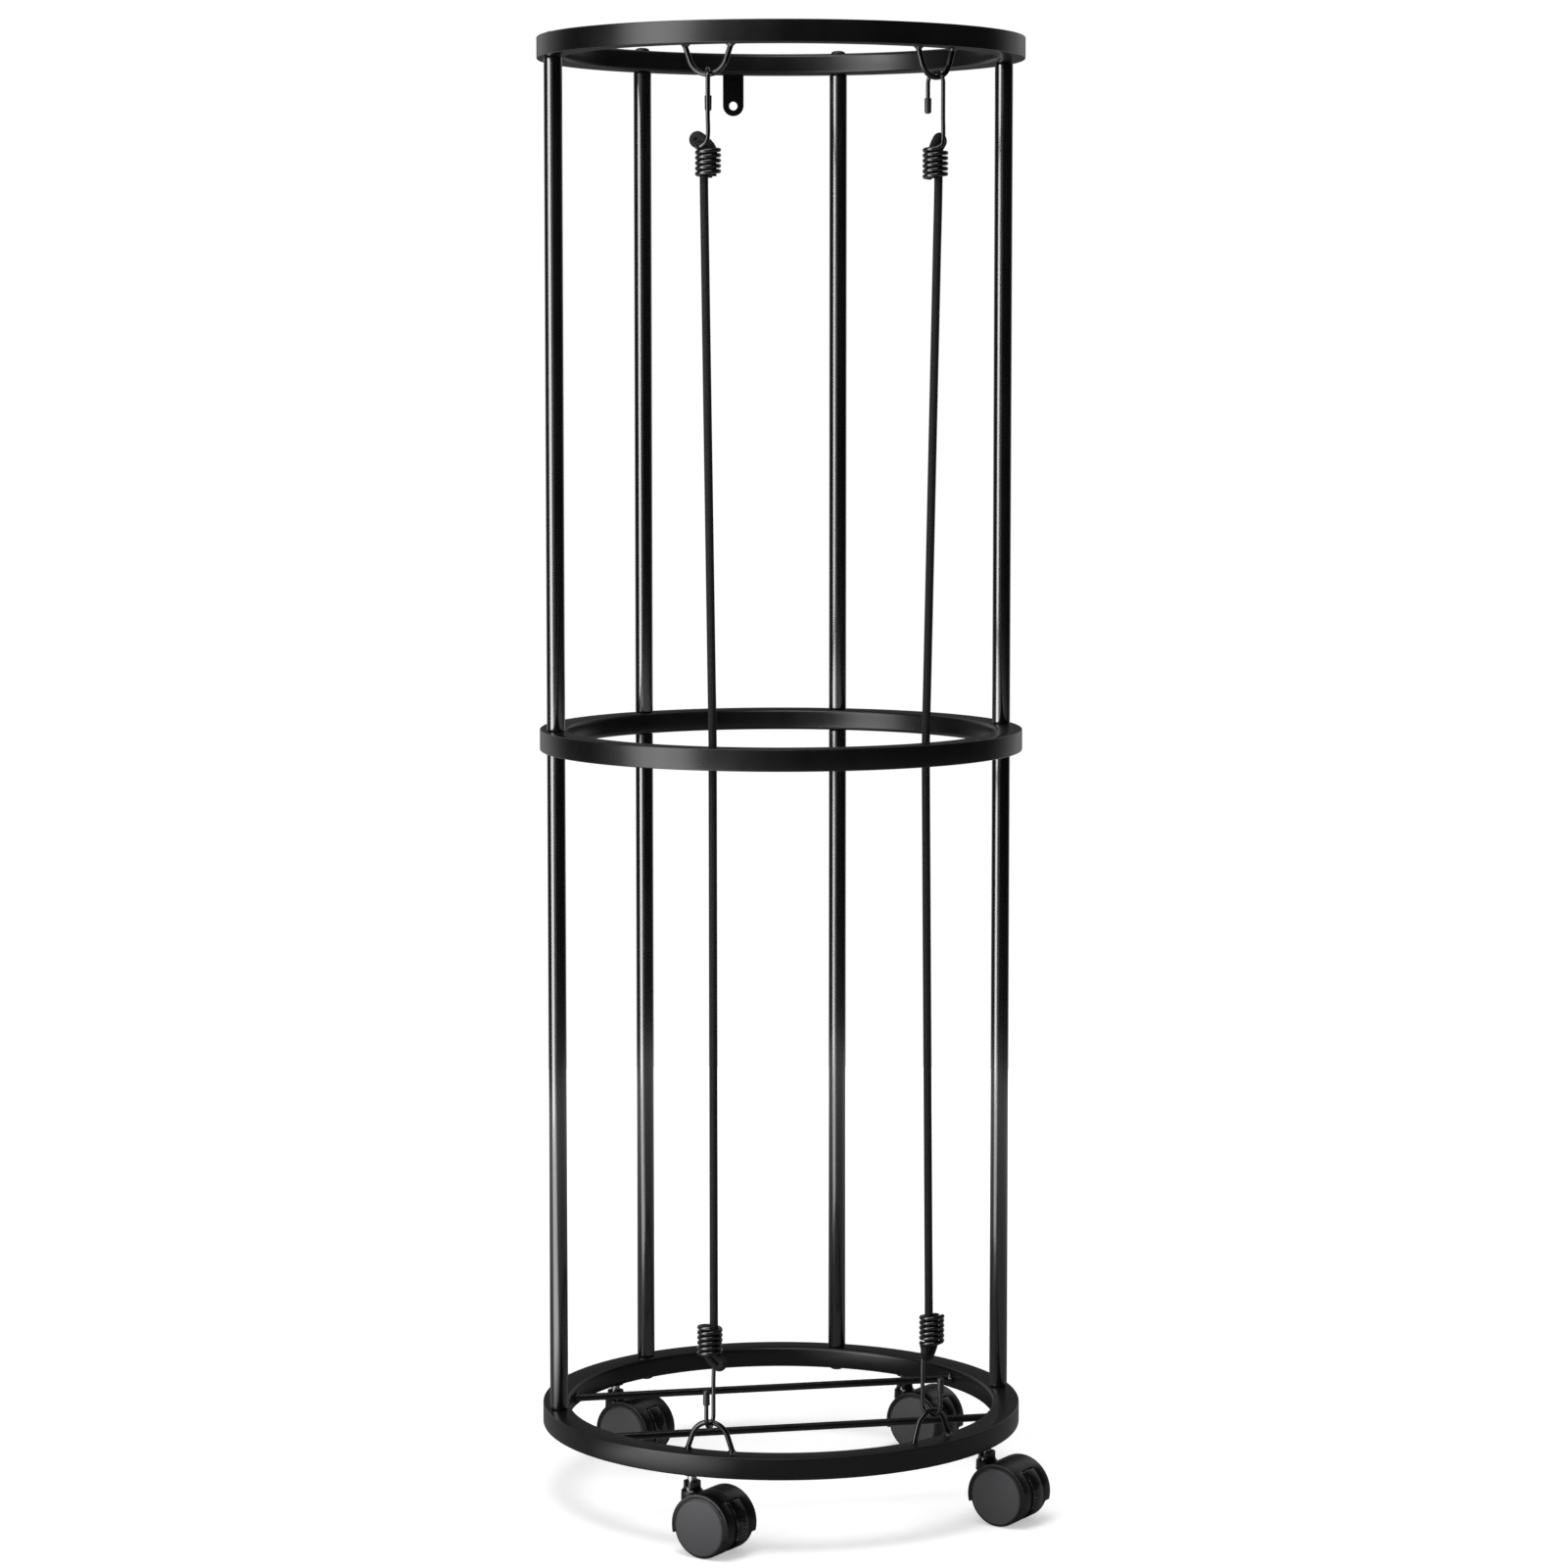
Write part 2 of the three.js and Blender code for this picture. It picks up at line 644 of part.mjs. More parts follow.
// The brake lever at the rear of the hood, with grip ribs across its tail.
function brakeLever() {
  const half = leverWidth / 2;
  const ribFoot = leverInnerRadius + leverThickness / 2;
  const ribCrown = leverOuterRadius + leverRibHeight;
  const ribPitch = (leverRibTopAngle - leverTailAngle - leverRibArc) / leverRibs;
  let lever = solid(arcPlate(leverInnerRadius, leverOuterRadius, leverTailAngle, leverTopAngle, -half, half));
  for (let rib = 0; rib < leverRibs; rib += 1) {
    const from = leverTailAngle + leverRibArc / 2 + rib * ribPitch;
    lever = lever.add(solid(arcPlate(ribFoot, ribCrown, from, from + leverRibArc, -half, half)));
  }
  return surface(lever);
}

// One castor round its stem: +X is the way that the wheels trail.
function castor(place, angle) {
  const axle = rod(axleRadius, axleEndInset - wheelOuterFace, wheelOuterFace - axleEndInset, axleSides);
  const running = new THREE.Group();
  const left = named("castor_" + place + "_left_wheel", castorWheel().rotateX(-Math.PI / 2), hubGrey);
  const right = named("castor_" + place + "_right_wheel", castorWheel().rotateX(Math.PI / 2), hubGrey);
  running.add(
    named("castor_" + place + "_hood", castorHood(), plasticBlack),
    named("castor_" + place + "_axle", axle.rotateX(Math.PI / 2), zincSteel),
    named("castor_" + place + "_brake_lever", brakeLever(), plasticBlack),
    left,
    right,
  );
  const whole = new THREE.Group();
  whole.rotation.z = radians(castorHeading);
  whole.add(named("castor_" + place + "_stem", castorStem(), zincSteel), moved(running, castorTrail, 0, axleZ));
  const x = ringMiddleRadius * Math.cos(radians(angle));
  const y = ringMiddleRadius * Math.sin(radians(angle));
  return moved(whole, x, y, 0);
}

// The least gap between the turns of a wire, measured on its points at least half a curl apart.
function leastGap(route, radius) {
  const points = route.map(([x, y, z]) => new THREE.Vector3(x, y, z));
  const apart = hookCurlSteps / 2;
  let least = Infinity;
  points.forEach((point, i) => {
    for (const other of points.slice(i + apart)) least = Math.min(least, point.distanceTo(other) - 2 * radius);
  });
  return least;
}

console.log("least gap between the turns of a cord hook, mm:", leastGap(hookRoute(), hookWireRadius).toFixed(2));

const ballCart = new THREE.Group();
ballCart.add(...rings(), ...postsAndBolts(), wallTab(), ...cordsAndHooks(), ...floorBars());
for (const [place, angle] of Object.entries(castorAngles)) ballCart.add(castor(place, angle));
export default ballCart;
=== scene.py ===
"""Looks of the ball cart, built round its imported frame.

Pieces are modelled in millimetres, as the part's source is, and finished in metres.
+Z is up, the front faces -Y, and the origin lies on the cage's axis at floor level.
"""

import json
import logging
import math
from collections.abc import Callable, Iterable, Sequence
from dataclasses import dataclass, field
from enum import Enum

import bmesh
import bpy
from mathutils import Matrix, Vector


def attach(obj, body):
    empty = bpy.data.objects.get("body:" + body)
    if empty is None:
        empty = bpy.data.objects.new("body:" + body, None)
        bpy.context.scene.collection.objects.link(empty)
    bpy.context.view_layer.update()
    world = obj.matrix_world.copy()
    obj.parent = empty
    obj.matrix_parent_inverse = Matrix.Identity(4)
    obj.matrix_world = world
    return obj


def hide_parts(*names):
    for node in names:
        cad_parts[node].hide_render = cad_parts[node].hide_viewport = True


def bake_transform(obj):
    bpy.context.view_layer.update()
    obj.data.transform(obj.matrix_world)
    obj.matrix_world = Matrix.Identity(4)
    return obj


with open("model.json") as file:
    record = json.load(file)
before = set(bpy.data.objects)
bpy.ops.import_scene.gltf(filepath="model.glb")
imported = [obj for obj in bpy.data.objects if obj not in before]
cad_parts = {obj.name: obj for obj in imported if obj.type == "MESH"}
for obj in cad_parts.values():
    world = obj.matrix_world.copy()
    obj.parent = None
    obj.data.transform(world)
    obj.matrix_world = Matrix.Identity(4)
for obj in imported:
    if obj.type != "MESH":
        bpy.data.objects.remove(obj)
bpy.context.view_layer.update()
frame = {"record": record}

LOG = logging.getLogger("ball_cart")
MM = 0.001
AXIS_NEAR = 1e-5  # millimetres within which a point lies on the axis
# Faces on such edges carry the wear and, on the hood and hub discs, a painted highlight.
EDGE_TURN = 0.15  # radians by which an edge turns outwards, where its faces can be rubbed
EDGE_WIDTH = 0.6  # millimetres, the widest face that counts as part of a rounding
SHARP_TURN = 40.0  # degrees, from which an edge is shaded sharp

Pair = tuple[float, float]
Tone = tuple[float, float, float]
Shape = bmesh.types.BMesh
Socket = bpy.types.NodeSocket
Input = Socket | float


class Side(Enum):
    """The two cords, seen from the front."""

    LEFT = "left"
    RIGHT = "right"


class End(Enum):
    """The two ends of a cord."""

    TOP = "top"
    LOWER = "lower"


class Place(Enum):
    """Places round the cage, each with its angle in degrees."""

    @property
    def label(self) -> str:
        """The place's name in the frame's nodes."""
        return self.name.lower()


class Corner(Place):
    """The castors' places."""

    FRONT_LEFT = 236
    FRONT_RIGHT = 322
    BACK_RIGHT = 43
    BACK_LEFT = 128


class PostPlace(Place):
    """The posts' places."""

    RIGHT = 0
    BACK_RIGHT = 63
    BACK_LEFT = 117
    LEFT = 180


# Shaping


def rounded(shape: Shape, corners: Iterable[bmesh.types.BMVert], ease: float, steps: int) -> None:
    """Rounds the corners of an outline.

    Args:
        shape: the mesh that holds the outline's one face.
        corners: the vertices to round.
        ease: how far the rounding reaches along each edge.
        steps: segments in each rounding.
    """
    bmesh.ops.bevel(
        shape, geom=list(corners), offset=ease, offset_type="OFFSET", segments=steps,
        profile=0.5, affect="VERTICES", material=-1,
    )


def eased(
    shape: Shape, ease: float, steps: int = 2, least: float = 38.0, past: float | None = None,
) -> Shape:
    """Rounds every edge that turns sharply.

    Args:
        shape: the mesh to ease.
        ease: the rounding's width.
        steps: segments in it.
        least: the angle in degrees from which an edge counts as sharp.
        past: only edges at least so far from the middle along Y, where it is given.

    Returns:
        The same mesh.
    """
    shape.normal_update()
    limit = math.radians(least)
    sharp = [edge for edge in shape.edges if edge.is_manifold and edge.calc_face_angle(0.0) > limit]
    if past is not None:
        sharp = [edge for edge in sharp if all(abs(vertex.co.y) > past for vertex in edge.verts)]
    bmesh.ops.bevel(
        shape, geom=sharp, offset=ease, offset_type="OFFSET", segments=steps,
        profile=0.5, affect="EDGES", clamp_overlap=True, material=-1,
    )
    return shape


def turned(
    profile: Sequence[Pair], segments: int, eases: dict[int, float] | None = None, steps: int = 3,
) -> Shape:
    """Turns a closed outline of radii and heights about Z.

    Args:
        profile: the outline's corners. An edge on the axis is left open and closes by itself.
        segments: segments round the axis.
        eases: rounding of some corners, by their place in the profile.
        steps: segments in each rounding.

    Returns:
        The closed mesh.
    """
    shape = bmesh.new()
    corners = [shape.verts.new((radius, 0.0, height)) for radius, height in profile]
    shape.faces.new(corners)
    for place, ease in (eases or {}).items():
        rounded(shape, [corners[place]], ease, steps)
    bmesh.ops.delete(shape, geom=shape.faces[:], context="FACES_ONLY")
    on_axis = [edge for edge in shape.edges if all(abs(v.co.x) < AXIS_NEAR for v in edge.verts)]
    bmesh.ops.delete(shape, geom=on_axis, context="EDGES")
    bmesh.ops.spin(
        shape, geom=shape.edges[:] + shape.verts[:], cent=(0, 0, 0), axis=(0, 0, 1),
        angle=2 * math.pi, steps=segments, use_merge=True,
    )
    bmesh.ops.remove_doubles(shape, verts=shape.verts[:], dist=AXIS_NEAR)
    bmesh.ops.recalc_face_normals(shape, faces=shape.faces[:])
    return shape


def carried(route: Sequence[Vector]) -> list[Matrix]:
    """Places a section on each point of a route, without twist.

    Args:
        route: the points.

    Returns:
        One matrix for each point, with Z along the route.
    """
    count = len(route)
    tangents = [
        (route[min(i + 1, count - 1)] - route[max(i - 1, 0)]).normalized() for i in range(count)
    ]
    across = tangents[0].orthogonal().normalized()
    places = []
    for i, (point, tangent) in enumerate(zip(route, tangents)):
        if i:
            across = tangents[i - 1].rotation_difference(tangent) @ across
            across = (across - tangent * across.dot(tangent)).normalized()
        columns = Matrix((across, tangent.cross(across), tangent)).transposed()
        places.append(Matrix.Translation(point) @ columns.to_4x4())
    return places


def between(first: Vector, second: Vector, start: float, end: float, at: float) -> Vector:
    """The point at one time on the line that passes two points at theirs."""
    share = (at - start) / (end - start)
    return first * (1 - share) + second * share


def flowing(points: Sequence[Vector], substeps: int) -> list[Vector]:
    """Draws one smooth curve through points, with more steps between them.

    Args:
        points: the points that it passes.
        substeps: steps between two of them.

    Returns:
        The finer route.
    """
    ends = [2 * points[0] - points[1], *points, 2 * points[-1] - points[-2]]
    route = [points[0].copy()]
    for i in range(1, len(ends) - 2):
        four = ends[i - 1 : i + 3]
        times = [0.0]
        for here, after in zip(four, four[1:]):
            times.append(times[-1] + max((after - here).length, AXIS_NEAR) ** 0.5)
        for step in range(1, substeps + 1):
            at = times[1] + (times[2] - times[1]) * step / substeps
            three = [between(four[k], four[k + 1], times[k], times[k + 1], at) for k in range(3)]
            two = [between(three[k], three[k + 1], times[k], times[k + 2], at) for k in range(2)]
            route.append(between(two[0], two[1], times[1], times[2], at))
    return route


def drawn_on(
    shape: Shape, edges: Sequence[bmesh.types.BMEdge],
) -> tuple[list[bmesh.types.BMVert], list[bmesh.types.BMEdge]]:
    """Extrudes an open ring of edges in place.

    Args:
        shape: the mesh that holds the ring.
        edges: the ring's edges.

    Returns:
        The new ring's vertices and its edges.
    """
    grown = bmesh.ops.extrude_edge_only(shape, edges=edges)["geom"]
    ring = [item for item in grown if isinstance(item, bmesh.types.BMVert)]
    fresh = set(ring)
    rims = [item for item in grown if isinstance(item, bmesh.types.BMEdge)]
    return ring, [edge for edge in rims if all(vertex in fresh for vertex in edge.verts)]


def thickened(shape: Shape, way: Sequence[float]) -> None:
    """Draws a flat sheet out into a closed plate.

    Args:
        shape: the mesh that holds the sheet.
        way: how far and which way it is drawn.
    """
    grown = bmesh.ops.extrude_face_region(shape, geom=shape.faces[:])["geom"]
    moved = [item for item in grown if isinstance(item, bmesh.types.BMVert)]
    bmesh.ops.translate(shape, vec=way, verts=moved)
    bmesh.ops.recalc_face_normals(shape, faces=shape.faces[:])


def cut_out(shape: Shape, inside: Callable[[Vector], bool]) -> None:
    """Deletes the faces of a sheet whose middles pass a test."""
    gone = [face for face in shape.faces if inside(face.calc_center_median())]
    bmesh.ops.delete(shape, geom=gone, context="FACES")


def faced_out(shape: Shape, axis: int) -> None:
    """Turns the faces of an open sheet outwards.

    Args:
        shape: the mesh that holds the sheet.
        axis: the axis along which the sheet's furthest face looks outwards.
    """
    bmesh.ops.recalc_face_normals(shape, faces=shape.faces[:])
    shape.normal_update()
    furthest = max(shape.faces, key=lambda face: face.calc_center_median()[axis])
    if furthest.normal[axis] < 0:
        bmesh.ops.reverse_faces(shape, faces=shape.faces[:])


def walled(shape: Shape, wall: float) -> None:
    """Gives an open sheet a wall's thickness."""
    bmesh.ops.solidify(shape, geom=shape.faces[:], thickness=wall)
    bmesh.ops.recalc_face_normals(shape, faces=shape.faces[:])


def swept(
    route: Sequence[Vector], radius: float, sides: int, girth: Callable[[float], float] | None = None,
) -> Shape:
    """Draws a round wire or cord along a route, with its length and turn as a UV map.

    Args:
        route: the points of its middle.
        radius: its radius.
        sides: segments round it.
        girth: the radius' factor at a length from the start, where it isn't one.

    Returns:
        The closed mesh.
    """
    shape = bmesh.new()
    along = shape.verts.layers.float.new("along")
    around = shape.verts.layers.float.new("around")
    places = carried(route)
    lengths = [0.0]
    for here, after in zip(route, route[1:]):
        lengths.append(lengths[-1] + (after - here).length)
    widths = [girth(length) if girth else 1.0 for length in lengths]
    scaled = [place @ Matrix.Diagonal((width, width, 1.0, 1.0)) for place, width in zip(places, widths)]
    first = bmesh.ops.create_circle(shape, cap_ends=True, segments=sides, radius=radius, matrix=scaled[0])
    ring = first["verts"]
    for turn, vertex in enumerate(ring):
        vertex[around] = turn / sides
    edges = shape.edges[:]
    for i in range(1, len(scaled)):
        ring, edges = drawn_on(shape, edges)
        bmesh.ops.transform(shape, matrix=scaled[i] @ scaled[i - 1].inverted(), verts=ring)
        for vertex in ring:
            vertex[along] = lengths[i] * MM
    bmesh.ops.contextual_create(shape, geom=edges)
    chart = shape.loops.layers.uv.new("UVMap")
    for face in shape.faces:
        turns = [loop.vert[around] for loop in face.loops]
        wraps = max(turns) - min(turns) > 0.5
        for loop, turn in zip(face.loops, turns):
            loop[chart].uv = (turn + 1.0 if wraps and turn < 0.5 else turn, loop.vert[along])
    bmesh.ops.recalc_face_normals(shape, faces=shape.faces[:])
    return shape


def arc_block(inner: float, outer: float, angles: Pair, reach: Pair, steps: int) -> Shape:
    """A sector of a ring about Y, closed at both ends.

    Args:
        inner: its inner radius.
        outer: its outer radius.
        angles: its first and last angle in degrees, from +X towards +Z.
        reach: its two ends along Y.
        steps: segments along it.

    Returns:
        The closed mesh.
    """
    shape = bmesh.new()
    start = math.radians(angles[1])
    corners = [(inner, reach[0]), (outer, reach[0]), (outer, reach[1]), (inner, reach[1])]
    section = [shape.verts.new((r * math.cos(start), y, r * math.sin(start))) for r, y in corners]
    face = shape.faces.new(section)
    bmesh.ops.spin(
        shape, geom=[face, *face.edges, *section], cent=(0, 0, 0), axis=(0, 1, 0),
        angle=math.radians(angles[1] - angles[0]), steps=steps,
    )
    bmesh.ops.recalc_face_normals(shape, faces=shape.faces[:])
    return shape


def joined(*parts: Shape) -> Shape:
    """Several meshes as one, each still closed by itself.

    Args:
        parts: the meshes. They are used up.

    Returns:
        The new mesh.
    """
    whole = bmesh.new()
    for part in parts:
        data = bpy.data.meshes.new("part")
        part.to_mesh(data)
        part.free()
        whole.from_mesh(data)
        bpy.data.meshes.remove(data)
    return whole


def placed(shape: Shape, place: Matrix) -> Shape:
    """The same mesh, moved by a matrix."""
    bmesh.ops.transform(shape, matrix=place, verts=shape.verts[:])
    return shape


def station(angle: float, out: float = 0.0, height: float = 0.0) -> Matrix:
    """A place on the cage whose +X points outwards at an angle in degrees."""
    return Matrix.Rotation(math.radians(angle), 4, "Z") @ Matrix.Translation((out, 0.0, height))


def weld(wire: float, spread: float, rise: float, seed: int) -> Shape:
    """A weld round the foot of a wire that stands on zero, with the ripples of its beads.

    Args:
        wire: the wire's radius.
        spread: how far the weld reaches past it.
        rise: its height on the wire.
        seed: turns the ripples, so that no two welds are alike.

    Returns:
        The closed mesh.
    """
    shoulder = (wire + 0.55 * spread, 0.42 * rise)
    profile = [(0.0, 0.0), (wire + spread, 0.0), shoulder, (wire, rise), (0.0, rise)]
    shape = turned(profile, 28, {2: 0.25 * spread}, 2)
    for vertex in shape.verts:
        turn = math.atan2(vertex.co.y, vertex.co.x)
        reach = max(vertex.co.to_2d().length - wire, 0.0) / spread
        ripple = 1 + reach * (0.16 * math.sin(5 * turn + 1.7 * seed) + 0.1 * math.sin(3 * turn + seed))
        vertex.co.x *= ripple
        vertex.co.y *= ripple
    return shape


# Finishes


class Graph:
    """A node tree that is being wired."""

    def __init__(self, tree: bpy.types.NodeTree) -> None:
        """Keeps the tree.

        Args:
            tree: the tree to add to.
        """
        self.tree = tree

    @classmethod
    def of(cls, owner: bpy.types.Material | bpy.types.World) -> "Graph":
        """Empties the node tree of a material or world.

        Args:
            owner: the material or world.

        Returns:
            Its graph.
        """
        owner.use_nodes = True
        owner.node_tree.nodes.clear()
        return cls(owner.node_tree)

    def add(
        self, kind: str, inputs: dict[str | int, Input | Tone] | None = None, **settings: object,
    ) -> bpy.types.Node:
        """Adds a node.

        Args:
            kind: the node's type.
            inputs: values or sockets for its inputs.
            settings: its properties.

        Returns:
            The node.
        """
        node = self.tree.nodes.new(kind)
        for name, value in settings.items():
            setattr(node, name, value)
        self.feed(node, inputs or {})
        return node

    def feed(self, node: bpy.types.Node, inputs: dict[str | int, Input | Tone]) -> None:
        """Gives a node its inputs.

        Args:
            node: the node.
            inputs: values or sockets, by the names of its inputs.
        """
        for name, value in inputs.items():
            if isinstance(value, bpy.types.NodeSocket):
                self.tree.links.new(value, node.inputs[name])
            else:
                node.inputs[name].default_value = value

    def math(self, operation: str, *values: Input) -> Socket:
        """One step of arithmetic, as its result's socket."""
        node = self.add("ShaderNodeMath", dict(enumerate(values)), operation=operation)
        return node.outputs[0]

    def spread(self, value: Input, low: float, high: float, start: float = 0.0, end: float = 1.0) -> Socket:
        """A value stretched from one range to another, as its result's socket."""
        inputs = {"Value": value, "From Min": start, "From Max": end, "To Min": low, "To Max": high}
        return self.add("ShaderNodeMapRange", inputs).outputs["Result"]

    def mixed(self, share: Input, first: Tone | Socket, second: Tone | Socket) -> Socket:
        """Mixes two colours.

        Args:
            share: the second one's share.
            first: a colour or its socket.
            second: a colour or its socket.

        Returns:
            The result's socket.
        """
        ends = [end if isinstance(end, bpy.types.NodeSocket) else (*end, 1.0) for end in (first, second)]
        return self.add("ShaderNodeMix", {0: share, 6: ends[0], 7: ends[1]}, data_type="RGBA").outputs[2]

    def noise(self, vector: Socket, scale: Input, detail: float, roughness: float) -> Socket:
        """Noise along a vector, as its value's socket."""
        inputs = {"Vector": vector, "Scale": scale, "Detail": detail, "Roughness": roughness}
        return self.add("ShaderNodeTexNoise", inputs).outputs["Fac"]

    def place(self) -> Socket:
        """The piece's own coordinates, as a socket."""
        return self.add("ShaderNodeTexCoord").outputs["Object"]


class Pattern(Enum):
    """Effects that more than one finish uses, each a node group that is built once."""

    PEEL = "coat_peel"
    HANDLING = "handling"
    EDGE_WEAR = "edge_wear"
    SPECKLE = "speckle"
    BRAID = "braid"

    def group(self) -> bpy.types.NodeTree:
        """The effect's node group.

        Returns:
            The group, built at its first use.
        """
        made = bpy.data.node_groups.get(self.value)
        if made is None:
            made = bpy.data.node_groups.new(self.value, "ShaderNodeTree")
            _PATTERNS[self](made)
        return made


def opened(
    tree: bpy.types.NodeTree, inputs: dict[str, float | None], outputs: Sequence[str],
) -> tuple[Graph, Callable[[str], Socket], bpy.types.Node]:
    """Gives a group its named sockets.

    Args:
        tree: the group.
        inputs: names with their default value, or None for a vector.
        outputs: names of the values that it puts out.

    Returns:
        The graph, a way to read an input by name, and the output node.
    """
    for name, value in inputs.items():
        kind = "NodeSocketVector" if value is None else "NodeSocketFloat"
        socket = tree.interface.new_socket(name=name, in_out="INPUT", socket_type=kind)
        if value is not None:
            socket.default_value = value
    for name in outputs:
        tree.interface.new_socket(name=name, in_out="OUTPUT", socket_type="NodeSocketFloat")
    graph = Graph(tree)
    source = graph.add("NodeGroupInput")
    return graph, lambda name: source.outputs[name], graph.add("NodeGroupOutput")


def coat_peel(tree: bpy.types.NodeTree) -> None:
    """Wires the soft dimples of a baked coat.

    Args:
        tree: the node group to fill.
    """
    graph, read, result = opened(tree, {"Vector": None, "Scale": 620.0}, ["Height"])
    broad = graph.noise(read("Vector"), read("Scale"), 1.0, 0.4)
    fine = graph.noise(read("Vector"), graph.math("MULTIPLY", read("Scale"), 3.1), 1.0, 0.5)
    whole = graph.math("ADD", graph.math("MULTIPLY", broad, 0.75), graph.math("MULTIPLY", fine, 0.25))
    graph.feed(result, {"Height": whole})


def handling(tree: bpy.types.NodeTree) -> None:
    """Wires the faint cloudy marks that hands and wiping leave.

    Args:
        tree: the node group to fill.
    """
    graph, read, result = opened(tree, {"Vector": None, "Scale": 22.0}, ["Mask"])
    stretched = graph.add("ShaderNodeMapping", {"Vector": read("Vector"), "Scale": (1.0, 1.0, 0.45)})
    cloud = graph.noise(stretched.outputs["Vector"], read("Scale"), 4.0, 0.62)
    graph.feed(result, {"Mask": graph.spread(cloud, 0.0, 1.0, 0.38, 0.66)})


def edge_wear(tree: bpy.types.NodeTree) -> None:
    """Wires the mask of rubbed edges and painted edge highlights, broken up by noise.

    Args:
        tree: the node group to fill.
    """
    names = {"Edge": 0.0, "Vector": None, "Scale": 160.0, "Amount": 0.5, "Cover": 0.0}
    graph, read, result = opened(tree, names, ["Mask"])
    cloud = graph.math("ADD", graph.noise(read("Vector"), read("Scale"), 4.0, 0.6), read("Cover"))
    broken = graph.spread(cloud, 0.0, 1.0, 0.42, 0.68)
    worn_and_highlit = graph.math("MULTIPLY", graph.math("MULTIPLY", read("Edge"), broken), read("Amount"))
    graph.feed(result, {"Mask": worn_and_highlit})


def speckle(tree: bpy.types.NodeTree) -> None:
    """Wires the grain of spark-eroded or blasted plastic.

    Args:
        tree: the node group to fill.
    """
    graph, read, result = opened(tree, {"Vector": None, "Scale": 1500.0}, ["Height", "Tone"])
    where = {"Vector": read("Vector"), "Scale": read("Scale")}
    cells = graph.add("ShaderNodeTexVoronoi", where, feature="SMOOTH_F1").outputs["Distance"]
    fine = graph.noise(read("Vector"), graph.math("MULTIPLY", read("Scale"), 0.5), 3.0, 0.6)
    height = graph.math("ADD", graph.math("MULTIPLY", cells, 0.6), graph.math("MULTIPLY", fine, 0.4))
    graph.feed(result, {"Height": height})
    graph.feed(result, {"Tone": graph.spread(fine, 0.0, 1.0, 0.38, 0.62)})


def braid(tree: bpy.types.NodeTree) -> None:
    """Wires a braided sleeve: yarns that cross over and under, round and along a cord.

    Args:
        tree: the node group to fill.
    """
    names = {"Vector": None, "Yarns": 8.0, "Lay": 0.003}
    graph, read, result = opened(tree, names, ["Height", "Tone"])
    parts = graph.add("ShaderNodeSeparateXYZ", {"Vector": read("Vector")})
    turn = graph.math("MULTIPLY", parts.outputs["X"], read("Yarns"))
    run = graph.math("DIVIDE", parts.outputs["Y"], read("Lay"))
    crossings = []
    for way in ("ADD", "SUBTRACT"):
        phase = graph.math("MULTIPLY", graph.math(way, turn, run), 2 * math.pi)
        crossings.append(graph.math("SINE", phase))
    lifted = graph.math("MULTIPLY", crossings[0], crossings[1])
    graph.feed(result, {"Height": graph.spread(lifted, 0.0, 1.0, -1.0, 1.0)})
    graph.feed(result, {"Tone": graph.math("ABSOLUTE", lifted)})


_PATTERNS: dict[Pattern, Callable[[bpy.types.NodeTree], None]] = {
    Pattern.PEEL: coat_peel,
    Pattern.HANDLING: handling,
    Pattern.EDGE_WEAR: edge_wear,
    Pattern.SPECKLE: speckle,
    Pattern.BRAID: braid,
}


